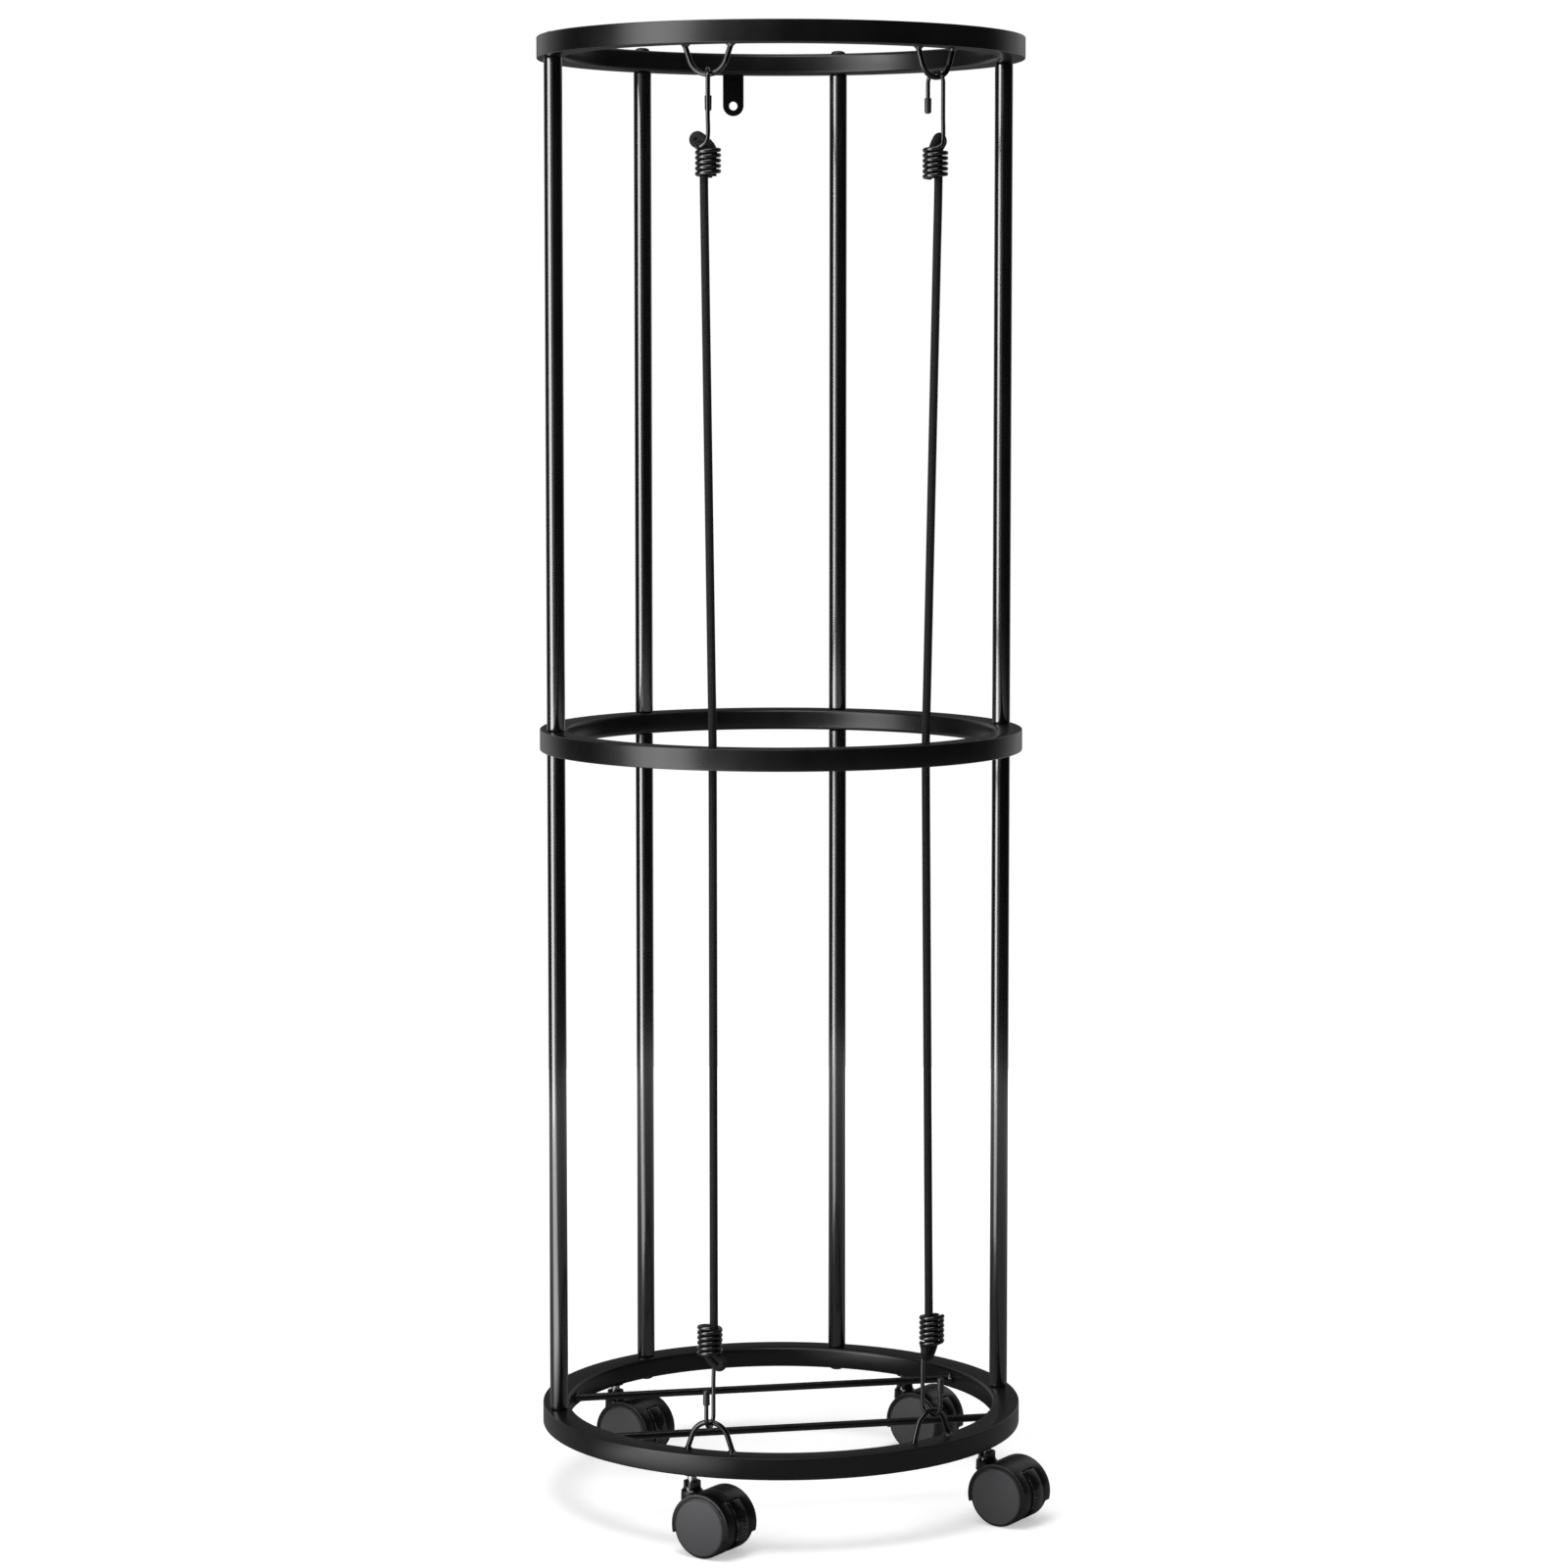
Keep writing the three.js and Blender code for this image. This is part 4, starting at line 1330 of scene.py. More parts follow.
@dataclass
class CordHooks:
    """The four hooks, each one wire: a coil round the cord's doubled end, a shaft and a bend."""

    wire_radius: float = 1.15
    drawn_radius: float = 1.34
    coil_radius: float = 6.9
    coil_spacing: float = 3.3
    coil_turns: float = 5.4
    turn_steps: int = 26
    shaft: float = 41.0
    turn_in: float = 38.0
    leg_turn: float = 2.2
    leg_settle: float = 5.5
    bend_steps: int = 20
    tip: float = 16.0
    sides: int = 14
    fit_gap: float = 0.3
    cap_radius: float = 2.2
    cap_length: float = 9.8
    cap_grip: float = 7.0
    cap_segments: int = 28
    twists: dict[str, float] = field(
        default_factory=lambda: {
            "top_left": 18.0, "lower_left": 0.0, "top_right": 0.0, "lower_right": 14.0,
        },
    )

    @property
    def bend_offset(self) -> float:
        """From the middle of the bend to the middle of the loop's wire."""
        return self.coil_radius - self.wire_radius - self.fit_gap - LOOPS.wire_radius

    @property
    def coil_length(self) -> float:
        """The coil's length from its first turn's middle to its last one's."""
        return self.coil_spacing * self.coil_turns

    @property
    def top_z(self) -> float:
        """The middle of a top hook's bend."""
        return CAGE.ring_z(2) - CAGE.seat_gap - LOOPS.depth - self.bend_offset

    @property
    def lower_z(self) -> float:
        """The middle of a lower hook's bend."""
        return CAGE.clearance + CAGE.ring_height + CAGE.seat_gap + LOOPS.depth + self.bend_offset

    def route(self) -> list[Vector]:
        """The wire's middle, in the hook's own frame: the shaft on +X and the bend's middle on zero.

        Returns:
            Its points, from the coil's far end to the tip.
        """
        last = -math.radians(self.turn_in)
        first = last - 2 * math.pi * self.coil_turns
        low = -self.shaft - self.coil_length
        steps = round(self.coil_turns * self.turn_steps)
        lead = 2 * self.wire_radius
        start = Vector((self.coil_radius * math.cos(first), self.coil_radius * math.sin(first), low))
        route = [start + Vector((lead * math.sin(first), -lead * math.cos(first), 0.0))]
        for step in range(steps + 1):
            angle = first + (last - first) * step / steps
            height = low + self.coil_length * step / steps
            across, aside = self.coil_radius * math.cos(angle), self.coil_radius * math.sin(angle)
            route.append(Vector((across, aside, height)))
        leg = [
            route[-1],
            Vector((self.coil_radius, -self.wire_radius, self.leg_turn - self.shaft)),
            Vector((self.coil_radius, 0.0, self.leg_settle - self.shaft)),
            Vector((self.coil_radius, 0.0, -self.shaft / 2)),
        ]
        route += flowing(leg, 5)[1:]
        for step in range(self.bend_steps + 1):
            angle = math.pi * step / self.bend_steps
            across, rise = self.coil_radius * math.cos(angle), self.coil_radius * math.sin(angle)
            route.append(Vector((across, 0.0, rise)))
        route += [Vector((-self.coil_radius, 0.0, -self.tip * share)) for share in (0.3, 0.65, 1.0)]
        return route

    def cap(self) -> Shape:
        """A soft tip with a rolled mouth, from its mouth at zero downwards.

        Returns:
            The closed mesh.
        """
        bore = self.drawn_radius + 0.05
        profile = [
            (0.0, -self.cap_length),
            (self.cap_radius, -self.cap_length),
            (self.cap_radius, -1.5),
            (self.cap_radius, 0.0),
            (bore, 0.0),
            (bore, -self.cap_grip - self.fit_gap),
            (0.0, -self.cap_grip - self.fit_gap),
        ]
        shape = turned(profile, self.cap_segments, {1: 1.5, 3: 0.45, 4: 0.3}, 5)
        for vertex in shape.verts:
            share = min(max(-vertex.co.z / self.cap_length, 0.0), 1.0)
            if vertex.co.to_2d().length > bore + 0.2 and 0.16 < share < 0.95:
                vertex.co.x *= 0.97
                vertex.co.y *= 0.97
        return shape

    def place(self, side: Side, end: End) -> Matrix:
        """Where a hook's own frame stands on the cage.

        Args:
            side: its cord.
            end: its end of the cord.

        Returns:
            The place.
        """
        height = self.top_z if end is End.TOP else self.lower_z
        turn = Matrix.Rotation(math.radians(self.twists[f"{end.value}_{side.value}"]), 4, "Z")
        flip = Matrix.Identity(4) if end is End.TOP else Matrix.Rotation(math.pi, 4, "Y")
        return station(CORD_ANGLES[side], LOOPS.circle_radius, height) @ turn @ flip

    def build(self) -> list[bpy.types.Object]:
        """Builds and dresses the hooks and their caps.

        Returns:
            The pieces.
        """
        pieces = []
        for side in Side:
            for end in End:
                name = f"{end.value}_{side.value}"
                at = self.place(side, end)
                wire = placed(swept(self.route(), self.drawn_radius, self.sides), at)
                spot = at @ Matrix.Translation((-self.coil_radius, 0.0, self.cap_grip - self.tip))
                cap = placed(self.cap(), spot)
                pieces.append(finished("hook_wire_" + name, wire, HOOK_DIP, "cord_hook_" + name))
                pieces.append(finished("tip_cap_" + name, cap, CAP_VINYL, "hook_cap_" + name))
        return pieces


HOOKS = CordHooks()


@dataclass
class ElasticCords:
    """The two elastic cords, each doubled over at both ends inside the hooks' coils."""

    radius: float = 2.5
    drawn_radius: float = 2.66
    strand_offset: float = 2.7
    tail: float = 0.6
    lead: float = 5.0
    run_steps: int = 8
    bight_steps: int = 6
    substeps: int = 6
    sides: int = 24
    flare: float = 1.1
    flare_length: float = 1.2
    stretch_from: float = 868.0
    stretch_to: float = 152.0
    frayed_in: float = 0.55
    frayed_deep: float = 0.35
    hands: dict[Side, float] = field(default_factory=lambda: {Side.LEFT: 1.0, Side.RIGHT: -1.0})
    knobs: dict[str, Pair] = field(
        default_factory=lambda: {
            "top_left": (58.0, 8.2),
            "lower_left": (46.0, 8.4),
            "top_right": (36.0, 6.2),
            "lower_right": (30.0, 7.6),
        },
    )

    def doubled_end(self, side: Side, end: End) -> list[Pair]:
        """Points sideways and along, from the cut end round the bight to where the cord leads off.

        Args:
            side: the cord.
            end: its end.

        Returns:
            The points, measured from the coil's inner end.
        """
        degrees, reach = self.knobs[f"{end.value}_{side.value}"]
        lean = math.radians(degrees)
        strand = [-HOOKS.coil_length / 2, -HOOKS.wire_radius]
        points = [(self.strand_offset, along) for along in (-HOOKS.coil_length - self.tail, *strand)]
        for step in range(self.bight_steps + 1):
            angle = math.pi * step / self.bight_steps
            across = self.strand_offset * math.cos(angle)
            rise = reach + self.strand_offset * math.sin(angle)
            points.append((
                across * math.cos(lean) - rise * math.sin(lean),
                across * math.sin(lean) + rise * math.cos(lean),
            ))
        back = (*reversed(strand), -HOOKS.coil_length - self.lead)
        return points + [(-self.strand_offset, along) for along in back]

    def route(self, side: Side) -> list[Vector]:
        """The cord's middle from one cut end to the other, in its station's frame.

        Args:
            side: the cord.

        Returns:
            Its points.
        """
        out = LOOPS.circle_radius
        hand = self.hands[side]
        top_coil = HOOKS.top_z - HOOKS.shaft
        lower_coil = HOOKS.lower_z + HOOKS.shaft
        innermost = CAGE.ring_inner - self.radius - 2 * HOOKS.fit_gap
        ends = {end: self.doubled_end(side, end) for end in End}
        top = [Vector((out, hand * across, top_coil + along)) for across, along in ends[End.TOP]]
        lower = [Vector((out, -hand * across, lower_coil - along)) for across, along in ends[End.LOWER]]
        above = Vector((innermost, 0.0, CAGE.ring_z(1) + CAGE.ring_height))
        below = Vector((innermost, 0.0, CAGE.ring_z(1)))
        upper_run = [top[-1].lerp(above, step / self.run_steps) for step in range(1, self.run_steps)]
        lower_run = [below.lerp(lower[-1], step / self.run_steps) for step in range(1, self.run_steps)]
        return [*top, *upper_run, above, below, *lower_run, *reversed(lower)]

    def cord(self, side: Side) -> tuple[Shape, float]:
        """One cord, and its length.

        Args:
            side: which of the two.

        Returns:
            The closed mesh and the length.
        """
        route = flowing(self.route(side), self.substeps)
        length = sum((after - here).length for here, after in zip(route, route[1:]))

        def girth(at: float) -> float:
            """A cut end spreads a little."""
            near = min(at, length - at)
            return 1.0 + (self.flare - 1.0) * max(0.0, 1.0 - near / self.flare_length)

        shape = swept(route, self.drawn_radius, self.sides, girth)
        ends = [face for face in shape.faces if len(face.verts) > 4]
        bmesh.ops.inset_region(shape, faces=ends, thickness=self.frayed_in, use_even_offset=True)
        for face in ends:
            bmesh.ops.translate(shape, vec=face.normal * -self.frayed_deep, verts=face.verts[:])
        return shape, length

    def build(self) -> list[bpy.types.Object]:
        """Builds and dresses the cords.

        Returns:
            The pieces.
        """
        pieces = []
        for side in Side:
            shape, length = self.cord(side)
            at = station(CORD_ANGLES[side])
            name = "elastic_cord_" + side.value
            piece = finished("braided_" + name, placed(shape, at), CORD_SLEEVE)
            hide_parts(name)
            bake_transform(piece)
            LOG.info("%s is %.0f mm long", name, length)
            pieces.append(piece)
        return pieces


@dataclass
class FloorBars:
    """The two bars across the base ring, welded to its inner face."""

    radius: float = 2.5
    offset: float = 54.0
    segments: int = 28
    weld_spread: float = 1.0
    weld_rise: float = 1.5
    weld_inset: float = 0.4

    def bar(self, y: float, seed: int) -> Shape:
        """One bar, its ends cut along the ring, with a weld at each.

        Args:
            y: its place from back to front.
            seed: turns the welds' ripples.

        Returns:
            The mesh, each part closed.
        """
        reach = CAGE.ring_inner - CAGE.seat_gap
        half = math.sqrt(reach * reach - y * y)
        shape = bmesh.new()
        along = Matrix.Rotation(math.pi / 2, 4, "Y")
        bmesh.ops.create_cone(
            shape, cap_ends=True, segments=self.segments, radius1=self.radius, radius2=self.radius,
            depth=2 * CAGE.ring_outer, matrix=Matrix.Translation((0.0, y, 0.0)) @ along,
        )
        parts = []
        for turn, side in enumerate((1, -1)):
            point = Vector((side * half, y, 0.0))
            out = point.normalized()
            cut = bmesh.ops.bisect_plane(
                shape, geom=shape.verts[:] + shape.edges[:] + shape.faces[:], plane_co=point, plane_no=out,
                clear_outer=True,
            )["geom_cut"]
            rim = [item for item in cut if isinstance(item, bmesh.types.BMEdge)]
            bmesh.ops.contextual_create(shape, geom=rim)
            lean = Vector((0.0, 0.0, 1.0)).rotation_difference(Vector((-side, 0.0, 0.0)))
            foot = Matrix.Translation(point - Vector((side * self.weld_inset, 0.0, 0.0)))
            bead = weld(self.radius, self.weld_spread, self.weld_rise, seed + 2 * turn)
            parts.append(placed(bead, foot @ lean.to_matrix().to_4x4()))
        bmesh.ops.recalc_face_normals(shape, faces=shape.faces[:])
        return joined(shape, *parts)

    def build(self) -> list[bpy.types.Object]:
        """Builds and dresses the bars.

        Returns:
            The pieces.
        """
        lift = Matrix.Translation((0.0, 0.0, CAGE.clearance + CAGE.ring_height / 2))
        return [
            finished(f"welded_bar_{side}", placed(self.bar(y, seed), lift), WIRE_COAT, "floor_bar_" + side)
            for seed, (side, y) in enumerate({"front": -self.offset, "back": self.offset}.items())
        ]


@dataclass
class Castor:
    """One twin-wheel castor with its brake lever. Its running pieces are shaped round the axle."""

    corner: Corner
    heading: float = 315.0
    trail: float = 17.0
    axle_z: float = 19.829
    shell_outer: float = 21.6
    shell_wall: float = 1.5
    half_width: float = 16.5
    flange_inner: float = 18.6
    rear_angle: float = -15.0
    front_angle: float = 195.0
    slot_angle: float = 52.0
    slot_low: float = -45.0
    shell_steps: tuple[int, int] = (52, 26)
    slot_half: float = 6.3
    hood_ease: float = 0.45
    slot_ease: float = 0.2
    tip_ease: float = 1.5
    neck_radius: float = 5.6
    neck_top: float = 44.8
    neck_wall: float = 1.9
    neck_segments: int = 60
    neck_ease: float = 0.4
    neck_rows: tuple[Pair, ...] = ((21.2, 1.0), (20.3, 1.04), (19.5, 1.12), (18.8, 1.26), (12.5, 1.3))
    notch_angle: float = -98.0
    notch_width: float = 30.0
    notch_depth: float = 3.2
    web_radius: float = 20.9
    web_half: float = 2.75
    web_segments: int = 72
    hub_radius: float = 5.3
    seam_top: float = 112.0
    lever_inner: float = 20.5
    lever_outer: float = 22.4
    lever_half: float = 6.0
    lever_top: float = 49.0
    lever_tail: float = -21.0
    pad_top: float = 15.0
    pad_rise: float = 0.3
    rib_rise: float = 0.7
    rib_count: int = 5
    rib_arc: float = 2.6
    rib_top: float = 12.0
    tread_radius: float = 19.8
    tread_inner: float = 3.4
    tread_outer: float = 16.6
    tread_ease: float = 1.3
    disc_radius: float = 18.1
    disc_face: float = 17.6
    disc_dome: float = 1.5
    disc_ease: float = 0.9
    axle_radius: float = 2.5
    axle_inset: float = 4.0
    stem_radius: float = 3.0
    stem_low: float = 37.3
    flange_radius: float = 5.5
    flange_height: float = 1.2
    thread_radius: float = 3.6
    thread_top: float = 56.0
    segments: int = 96

    @property
    def stem_at(self) -> Matrix:
        """The stem's place, with +X the way that the wheels trail.

        Returns:
            The place.
        """
        turn = math.radians(self.corner.value)
        spot = (CAGE.ring_middle * math.cos(turn), CAGE.ring_middle * math.sin(turn), 0.0)
        return Matrix.Translation(spot) @ Matrix.Rotation(math.radians(self.heading), 4, "Z")

    @property
    def axle_at(self) -> Matrix:
        """The axle's place."""
        return self.stem_at @ Matrix.Translation((self.trail, 0.0, self.axle_z))

    def shell(self) -> Shape:
        """The hood's shell and side flanges with the lever's slot, as one wall of even thickness.

        Returns:
            The closed mesh.
        """
        shape = bmesh.new()
        start = math.radians(self.front_angle)
        line = [
            (self.flange_inner, -self.half_width),
            (self.shell_outer, -self.half_width),
            (self.shell_outer, -self.slot_half),
            (self.shell_outer, self.slot_half),
            (self.shell_outer, self.half_width),
            (self.flange_inner, self.half_width),
        ]
        row = [shape.verts.new((r * math.cos(start), y, r * math.sin(start))) for r, y in line]
        edges = [shape.edges.new(pair) for pair in zip(row, row[1:])]
        bounds = (self.front_angle, self.slot_angle, self.rear_angle)
        for first, last, steps in zip(bounds, bounds[1:], self.shell_steps):
            ends = dict.fromkeys(vertex for edge in edges for vertex in edge.verts)
            last_row = bmesh.ops.spin(
                shape, geom=[*edges, *ends], cent=(0, 0, 0), axis=(0, 1, 0),
                angle=math.radians(first - last), steps=steps,
            )["geom_last"]
            edges = [item for item in last_row if isinstance(item, bmesh.types.BMEdge)]
        faced_out(shape, 2)
        low, high = math.radians(self.slot_low), math.radians(self.slot_angle)

        def in_slot(at: Vector) -> bool:
            """Whether a point lies in the lever's slot."""
            return abs(at.y) < self.slot_half / 2 and low < math.atan2(at.z, at.x) < high

        cut_out(shape, in_slot)
        tips = [
            vertex for vertex in shape.verts
            if len(vertex.link_faces) == 1 and abs(abs(vertex.co.y) - self.half_width) < 0.01
            and math.hypot(vertex.co.x, vertex.co.z) < self.flange_inner + 0.1
        ]
        rounded(shape, tips, self.tip_ease, 4)
        walled(shape, self.shell_wall)
        eased(shape, self.hood_ease, 3, 50.0, self.half_width - self.shell_wall / 2)
        return eased(shape, self.slot_ease, 2, 50.0)

    def neck(self) -> Shape:
        """The socket that turns on the stem, with a notch in its mouth, flowing into the shell.

        Returns:
            The closed mesh.
        """
        top = self.neck_top - self.axle_z
        shape = bmesh.new()
        bmesh.ops.create_circle(
            shape, segments=self.neck_segments, radius=self.neck_radius,
            matrix=Matrix.Translation((0.0, 0.0, top)),
        )
        edges = shape.edges[:]
        here, height = 1.0, top
        for level, width in ((top - self.notch_depth, 1.0), *self.neck_rows):
            ring, edges = drawn_on(shape, edges)
            bmesh.ops.translate(shape, vec=(0.0, 0.0, level - height), verts=ring)
            factor = width / here
            bmesh.ops.scale(shape, vec=(factor, factor, 1.0), verts=ring)
            here, height = width, level
        notch, half = math.radians(self.notch_angle), math.radians(self.notch_width / 2)

        def in_notch(at: Vector) -> bool:
            """Whether a point lies in the mouth's notch."""
            turn = (math.atan2(at.y, at.x) - notch + math.pi) % (2 * math.pi) - math.pi
            return at.z > top - self.notch_depth and abs(turn) < half

        cut_out(shape, in_notch)
        faced_out(shape, 0)
        walled(shape, self.neck_wall)
        eased(shape, self.neck_ease, 3, 60.0)
        return placed(shape, Matrix.Translation((-self.trail, 0.0, 0.0)))

    def web(self) -> Shape:
        """The plate between the wheels that carries the axle, with its boss.

        Returns:
            The mesh, each part closed.
        """
        across = Matrix.Rotation(math.pi / 2, 4, "X")
        shape = bmesh.new()
        bmesh.ops.create_circle(
            shape, cap_ends=True, cap_tris=True, segments=self.web_segments, radius=self.web_radius,
            matrix=across,
        )
        front, rear = self.front_angle - 360, self.rear_angle
        cut_out(shape, lambda at: front < math.degrees(math.atan2(at.z, at.x)) < rear)
        thickened(shape, (0.0, 2 * self.web_half, 0.0))
        bmesh.ops.translate(shape, vec=(0.0, -self.web_half, 0.0), verts=shape.verts[:])
        boss = bmesh.new()
        bmesh.ops.create_cone(
            boss, cap_ends=True, segments=40, radius1=self.hub_radius, radius2=self.hub_radius,
            depth=2 * self.web_half + 0.2, matrix=across,
        )
        return joined(shape, eased(boss, 0.4))

    def seam(self) -> Shape:
        """The fine raised line where the mould's halves met, from the neck to the lever."""
        low, high = self.shell_outer - 0.4, self.shell_outer + 0.1
        return arc_block(low, high, (self.slot_angle + 2, self.seam_top), (-0.25, 0.25), 24)

    def lever(self) -> Shape:
        """The brake lever: a bent plate with a raised pad and grip ribs across its tail.

        Returns:
            The mesh, each part closed.
        """
        half = self.lever_half
        bent = (self.lever_tail, self.lever_top)
        plate = arc_block(self.lever_inner, self.lever_outer, bent, (-half, half), 30)
        pad = arc_block(
            self.lever_outer - 1.0, self.lever_outer + self.pad_rise, (self.lever_tail + 1, self.pad_top),
            (-half + 0.5, half - 0.5), 14,
        )
        parts = [eased(plate, 0.55, 3), eased(pad, 0.22)]
        spacing = (self.rib_top - self.lever_tail - self.rib_arc) / self.rib_count
        for rib in range(self.rib_count):
            low = self.lever_tail + self.rib_arc + rib * spacing
            bar = arc_block(
                self.lever_outer - 0.5, self.lever_outer + self.rib_rise, (low, low + self.rib_arc),
                (-half + 0.9, half - 0.9), 3,
            )
            parts.append(eased(bar, 0.28))
        return joined(*parts)

    def tread(self) -> Shape:
        """A wheel's body with its eased tread.

        Returns:
            The closed mesh.
        """
        bore = self.axle_radius + 0.3
        inset = self.tread_outer - 1.2
        profile = [
            (bore, self.tread_inner),
            (self.tread_radius, self.tread_inner),
            (self.tread_radius, self.tread_outer),
            (self.disc_radius - 0.6, self.tread_outer),
            (self.disc_radius - 0.6, inset),
            (bore, inset),
        ]
        return turned(profile, self.segments, {1: 0.8, 2: self.tread_ease}, 4)

    def disc(self) -> Shape:
        """A wheel's hub disc, slightly domed, with a rounded rim.

        Returns:
            The closed mesh.
        """
        edge = self.disc_radius
        shoulder = edge - self.disc_ease
        dome = [
            (shoulder * share, self.disc_face + self.disc_dome * (1 - share * share))
            for share in (0.92, 0.8, 0.64, 0.46, 0.26, 0.0)
        ]
        back = self.tread_outer + 0.06
        profile = [(0.0, back), (edge, back), (edge, self.disc_face), *dome]
        return turned(profile, self.segments, {2: self.disc_ease}, 5)

    def stem(self) -> Shape:
        """The turned pin and thread of the stem.

        Returns:
            The closed mesh.
        """
        profile = [
            (0.0, self.stem_low),
            (self.stem_radius, self.stem_low),
            (self.stem_radius, CAGE.clearance - 1.0),
            (self.thread_radius, CAGE.clearance - 1.0),
            (self.thread_radius, self.thread_top),
            (0.0, self.thread_top),
        ]
        return turned(profile, 48, {1: 0.5, 4: 0.5})

    def collar(self) -> Shape:
        """The stem's flange under the ring.

        Returns:
            The closed mesh.
        """
        top = CAGE.clearance - CAGE.seat_gap
        low = top - self.flange_height
        bore = self.stem_radius + 0.02
        profile = [(bore, low), (self.flange_radius, low), (self.flange_radius, top), (bore, top)]
        return turned(profile, 48, {1: 0.3, 2: 0.3})

    def axle(self) -> Shape:
        """The axle between the wheels.

        Returns:
            The closed mesh.
        """
        half = self.tread_outer - self.axle_inset
        profile = [(0.0, -half), (self.axle_radius, -half), (self.axle_radius, half), (0.0, half)]
        return placed(turned(profile, 32, {1: 0.4, 2: 0.4}), Matrix.Rotation(math.pi / 2, 4, "X"))

    def build(self) -> list[bpy.types.Object]:
        """Builds and dresses the castor.

        Returns:
            The pieces.
        """
        label = self.corner.label
        core = joined(self.neck(), self.web(), self.seam())
        rows = [
            ("stem_pin", self.stem(), self.stem_at, STEM_ZINC, "stem"),
            # The flange takes the bolts' dark oxide finish, darker than the zinc pin.
            ("stem_collar", self.collar(), self.stem_at, BOLT_OXIDE, "stem"),
            ("hood_shell", self.shell(), self.axle_at, HOOD_NYLON, "hood"),
            ("hood_core", core, self.axle_at, LEVER_NYLON, "hood"),
            ("axle_pin", self.axle(), self.axle_at, STEM_ZINC, "axle"),
            ("lever_plate", self.lever(), self.axle_at, LEVER_NYLON, "brake_lever"),
        ]
        for side, turn in (("left", -math.pi / 2), ("right", math.pi / 2)):
            wheel_at = self.axle_at @ Matrix.Rotation(turn, 4, "X")
            rows.append((side + "_tread", self.tread(), wheel_at, TREAD_NYLON, side + "_wheel"))
            rows.append((side + "_disc", self.disc(), wheel_at, HUB_GREY, side + "_wheel"))
        return [
            finished(f"{label}_{name}", placed(shape, spot), finish, f"castor_{label}_{node}")
            for name, shape, spot, finish, node in rows
        ]


# Studio


class Use(Enum):
    """What a lamp is for, as whether matt surfaces and gloss see it."""

    ALL = (True, True)
    GLOSS = (False, True)
    FILL = (True, False)


def cosines(*angles: float) -> list[float]:
    """The cosines of angles in degrees."""
    return [math.cos(math.radians(angle)) for angle in angles]


@dataclass
class Lamp:
    """A soft box at an angle round the cart, aimed at the cage's axis. Its sizes are in metres."""

    name: str
    angle: float
    distance: float
    height: float
    width: float
    length: float
    level: float
    aim: float = 0.5
    use: Use = Use.ALL

    def build(self) -> bpy.types.Object:
        """Hangs the lamp. Its level is what its face gives off, where 1 is white.

        Returns:
            The lamp.
        """
        data = bpy.data.lights.new(self.name, "AREA")
        data.shape = "RECTANGLE"
        data.size = self.width
        data.size_y = self.length
        data.energy = 4 * self.level * self.width * self.length
        lamp = bpy.data.objects.new(self.name, data)
        turn = math.radians(self.angle)
        lamp.location = (self.distance * math.sin(turn), -self.distance * math.cos(turn), self.height)
        aim = Vector((0.0, 0.0, self.aim)) - lamp.location
        lamp.rotation_mode = "QUATERNION"
        lamp.rotation_quaternion = aim.to_track_quat("-Z", "Y")
        lamp.visible_diffuse, lamp.visible_glossy = self.use.value
        bpy.context.scene.collection.objects.link(lamp)
        return lamp


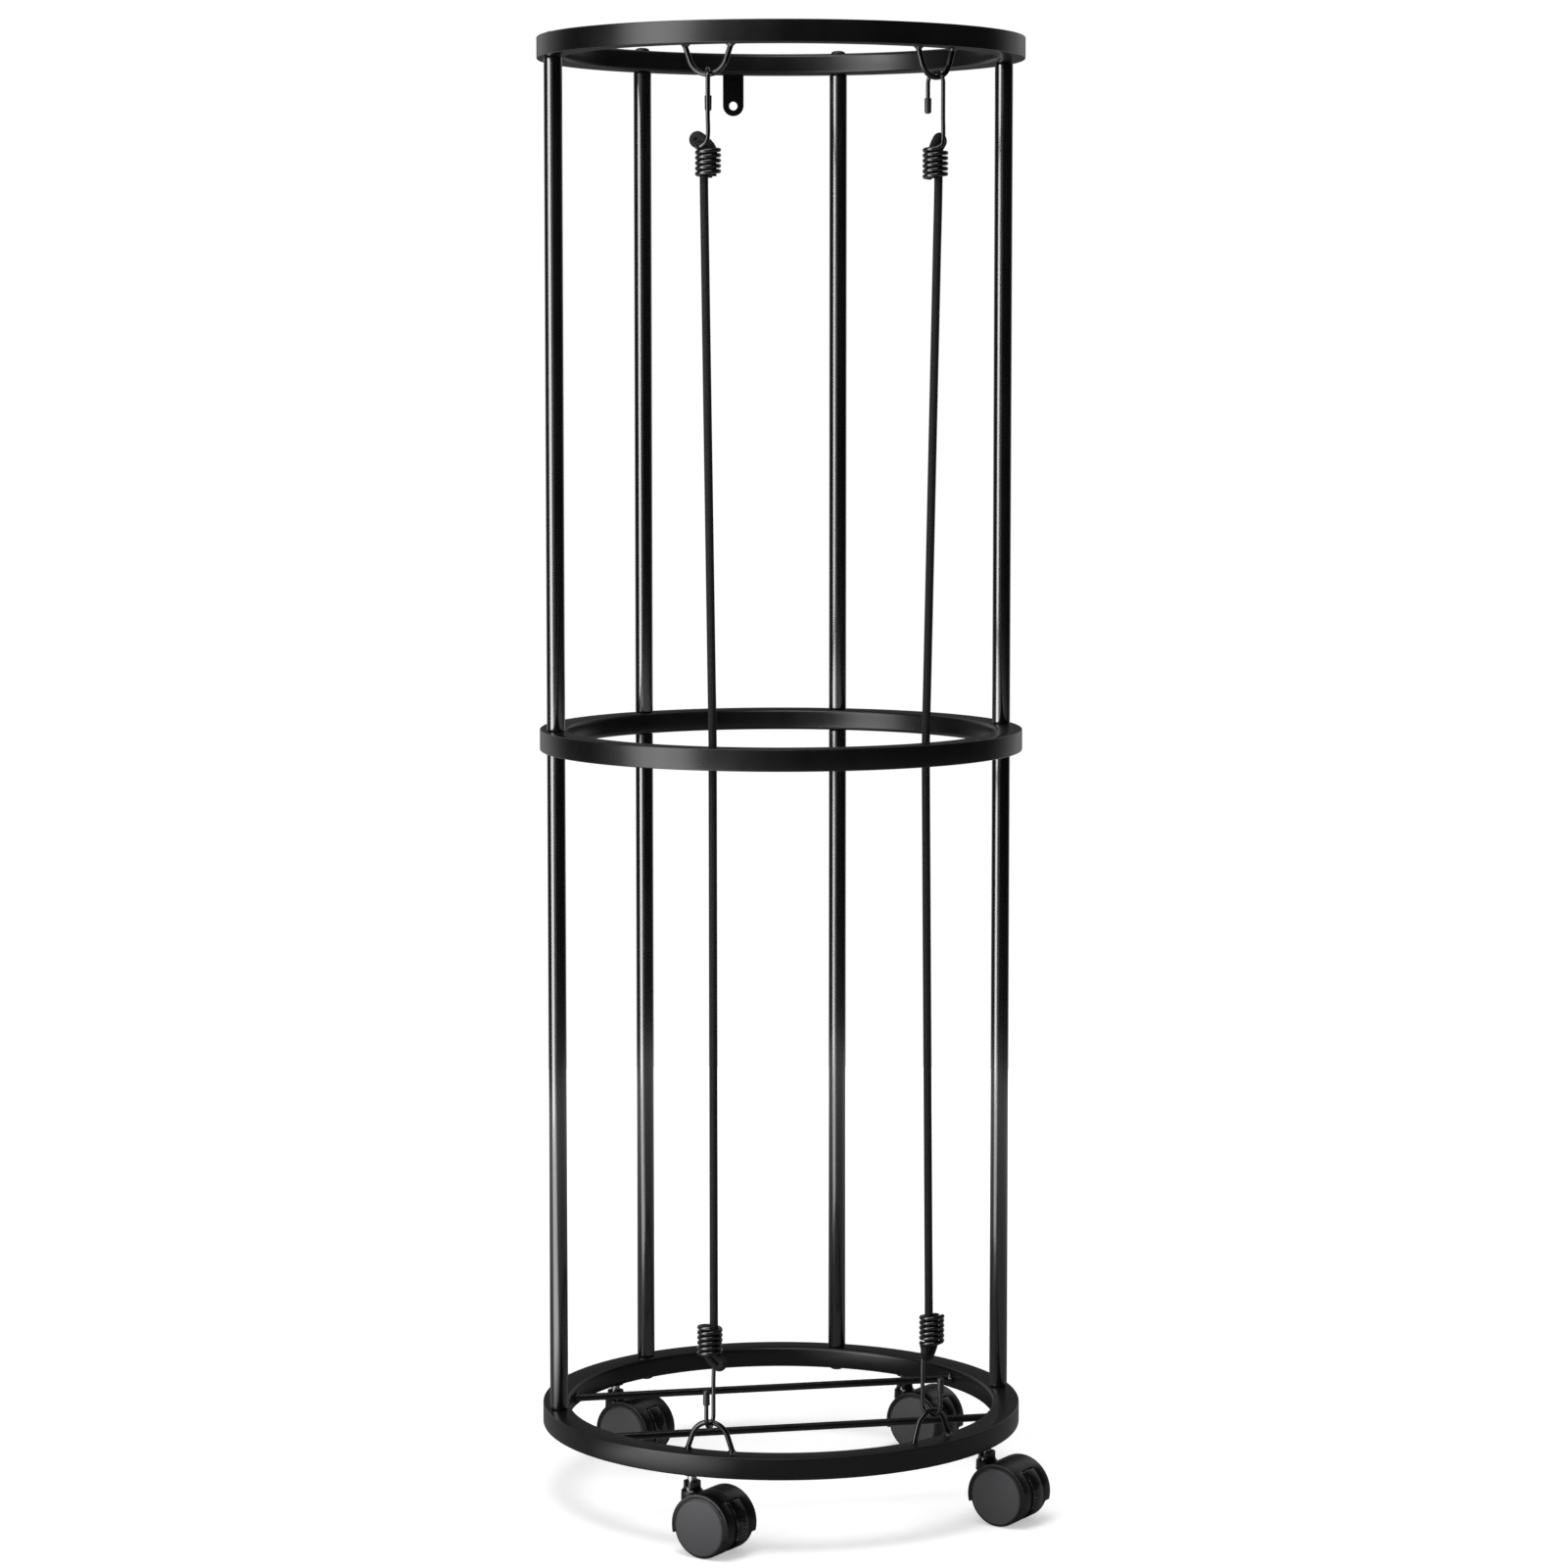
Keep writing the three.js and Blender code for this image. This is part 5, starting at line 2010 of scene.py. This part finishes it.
@dataclass
class Studio:
    """Pale floor, white surroundings, soft boxes and the camera. Its sizes are in metres."""

    camera_at: tuple[float, float, float] = (-0.5690, -2.7144, 0.7614)
    yaw: float = -11.88
    pitch: float = -5.06
    lens: float = 96.22
    sensor: float = 36.0
    shift: float = -0.035
    floor_radius: float = 1.7
    fade_start: float = 0.5
    fade_end: float = 1.445
    floor_fill: float = 0.42
    floor_tone: float = 0.9
    floor_tone_in_gloss: float = 0.3
    # Place, spread and strength of the painted glow in the floor that gloss on the cart sees.
    sheen_angle: float = -60.0
    sheen_spread: float = 20.0
    sheen_level: float = 4.0
    sheen_start: Pair = (0.25, 0.36)
    ambient: float = 0.42
    dim: float = 0.01
    glow_level: float = 0.6
    glow_rim: Pair = (62.0, 30.0)
    glow_core_level: float = 0.15
    glow_core: Pair = (22.0, 8.0)

    def camera(self) -> None:
        """Sets the camera at the photograph's angle."""
        data = bpy.data.cameras.new("camera")
        data.lens = self.lens
        data.sensor_width = self.sensor
        data.shift_y = self.shift
        camera = bpy.data.objects.new("camera", data)
        turn, rise = math.radians(self.yaw), math.radians(self.pitch)
        ahead = Vector((-math.sin(turn) * math.cos(rise), math.cos(turn) * math.cos(rise), math.sin(rise)))
        camera.location = self.camera_at
        camera.rotation_mode = "QUATERNION"
        camera.rotation_quaternion = ahead.to_track_quat("-Z", "Y")
        bpy.context.scene.collection.objects.link(camera)
        bpy.context.scene.camera = camera

    def floor(self) -> None:
        """Lays a round pale floor whose rim fades into the white."""
        shape = bmesh.new()
        bmesh.ops.create_circle(shape, cap_ends=True, segments=128, radius=self.floor_radius)
        data = bpy.data.meshes.new("studio_floor")
        shape.to_mesh(data)
        shape.free()
        floor = bpy.data.objects.new("studio_floor", data)
        bpy.context.scene.collection.objects.link(floor)
        made = bpy.data.materials.new("floor_paper")
        graph = Graph.of(made)
        rays = graph.add("ShaderNodeLightPath")
        tones = [(level, level, level) for level in (self.floor_tone, self.floor_tone_in_gloss)]
        tone = graph.mixed(rays.outputs["Is Glossy Ray"], *tones)
        paper = graph.add("ShaderNodeBsdfDiffuse", {"Color": tone})
        white = graph.add("ShaderNodeEmission", {"Color": (1.0, 1.0, 1.0, 1.0)})
        direct = graph.math("MAXIMUM", rays.outputs["Is Camera Ray"], rays.outputs["Is Transmission Ray"])
        reach = graph.add("ShaderNodeVectorMath", {0: graph.place()}, operation="LENGTH").outputs["Value"]
        rim = graph.spread(reach, self.floor_fill, 1.0, self.fade_start, self.fade_end)
        far = graph.spread(reach, 0.0, 0.5, self.fade_start, self.fade_end)
        # A painted glow in the floor, seen only in gloss, stands in for the strip lamp's reflection.
        sheen = graph.math("MULTIPLY", self.sheen(graph, reach), self.sheen_level)
        shown = graph.math("MULTIPLY", rays.outputs["Is Glossy Ray"], graph.math("ADD", far, sheen))
        strength = graph.math("ADD", graph.math("MULTIPLY", direct, rim), shown)
        graph.feed(white, {"Strength": strength})
        both = graph.add("ShaderNodeAddShader", {0: paper.outputs[0], 1: white.outputs[0]})
        open_side = graph.add("ShaderNodeBsdfTransparent")
        below = graph.add("ShaderNodeNewGeometry").outputs["Backfacing"]
        sides = graph.add("ShaderNodeMixShader", {0: below, 1: both.outputs[0], 2: open_side.outputs[0]})
        graph.add("ShaderNodeOutputMaterial", {"Surface": sides.outputs[0]})
        data.materials.append(made)

    def sheen(self, graph: Graph, reach: Socket) -> Socket:
        """Wires a painted glow on the floor where the strip lamp's reflection would lie, which only gloss on
        the cart sees.

        Args:
            graph: the floor's graph.
            reach: the distance from the middle of the floor.

        Returns:
            The reflection's mask.
        """
        turn = math.radians(self.sheen_angle)
        way = graph.add("ShaderNodeVectorMath", {0: graph.place()}, operation="NORMALIZE")
        toward = (math.sin(turn), -math.cos(turn), 0.0)
        lit = {0: way.outputs["Vector"], 1: toward}
        facing = graph.add("ShaderNodeVectorMath", lit, operation="DOT_PRODUCT")
        wide, narrow = cosines(1.5 * self.sheen_spread, 0.5 * self.sheen_spread)
        sector = graph.spread(facing.outputs["Value"], 0.0, 1.0, wide, narrow)
        return graph.math("MULTIPLY", sector, graph.spread(reach, 0.0, 1.0, *self.sheen_start))

    def surroundings(self) -> None:
        """Makes the surroundings white to the camera and in glass, and white behind the cart in gloss."""
        world = bpy.data.worlds.new("studio")
        bpy.context.scene.world = world
        graph = Graph.of(world)
        rays = graph.add("ShaderNodeLightPath")
        way = graph.add("ShaderNodeTexCoord").outputs["Generated"]
        turn = math.radians(self.yaw)
        level = graph.add("ShaderNodeVectorMath", {0: way, 1: (1.0, 1.0, 0.0)}, operation="MULTIPLY")
        unit = graph.add("ShaderNodeVectorMath", {0: level.outputs["Vector"]}, operation="NORMALIZE")
        ahead = (-math.sin(turn), math.cos(turn), 0.0)
        aims = {0: unit.outputs["Vector"], 1: ahead}
        facing = graph.add("ShaderNodeVectorMath", aims, operation="DOT_PRODUCT").outputs["Value"]
        rim = graph.spread(facing, 0.0, self.glow_level, *cosines(*self.glow_rim))
        core = graph.spread(facing, 1.0, self.glow_core_level, *cosines(*self.glow_core))
        glossy = graph.math("MAXIMUM", graph.math("MULTIPLY", rim, core), self.dim)
        direct = graph.math("MAXIMUM", rays.outputs["Is Camera Ray"], rays.outputs["Is Transmission Ray"])
        shown = graph.math("MULTIPLY", rays.outputs["Is Glossy Ray"], glossy)
        plain = graph.math("SUBTRACT", 1.0, graph.math("MAXIMUM", direct, rays.outputs["Is Glossy Ray"]))
        soft = graph.math("MULTIPLY", plain, self.ambient)
        strength = graph.math("ADD", direct, graph.math("ADD", shown, soft))
        back = graph.add("ShaderNodeBackground", {"Color": (1.0, 1.0, 1.0, 1.0), "Strength": strength})
        graph.add("ShaderNodeOutputWorld", {"Surface": back.outputs["Background"]})

    def build(self) -> None:
        """Sets up the whole studio."""
        self.camera()
        self.floor()
        self.surroundings()
        for lamp in (
            Lamp("strip_left", -67.0, 1.15, 1.02, width=0.62, length=2.0, level=6.4, aim=0.95, use=Use.GLOSS),
            Lamp("fill_left", -70.0, 2.2, 1.2, width=1.2, length=1.5, level=1.5, use=Use.FILL),
            Lamp("panel_left", -42.0, 1.9, 0.98, width=1.25, length=1.9, level=0.35, aim=0.9),
            Lamp("soft_top", -30.0, 0.75, 2.3, width=1.1, length=1.1, level=4.6),
        ):
            lamp.build()
        bpy.context.scene.view_settings.view_transform = "Standard"


def main() -> None:
    """Builds the studio and the cart."""
    logging.basicConfig(level=logging.INFO, format="%(message)s")
    Studio().build()
    assemblies = [Rings(), Posts(), WallTab(), LOOPS, HOOKS, ElasticCords(), FloorBars()]
    assemblies += [Castor(corner) for corner in Corner]
    count = sum(len(assembly.build()) for assembly in assemblies)
    LOG.info("%d pieces", count)


if __name__ == "__main__":
    main()
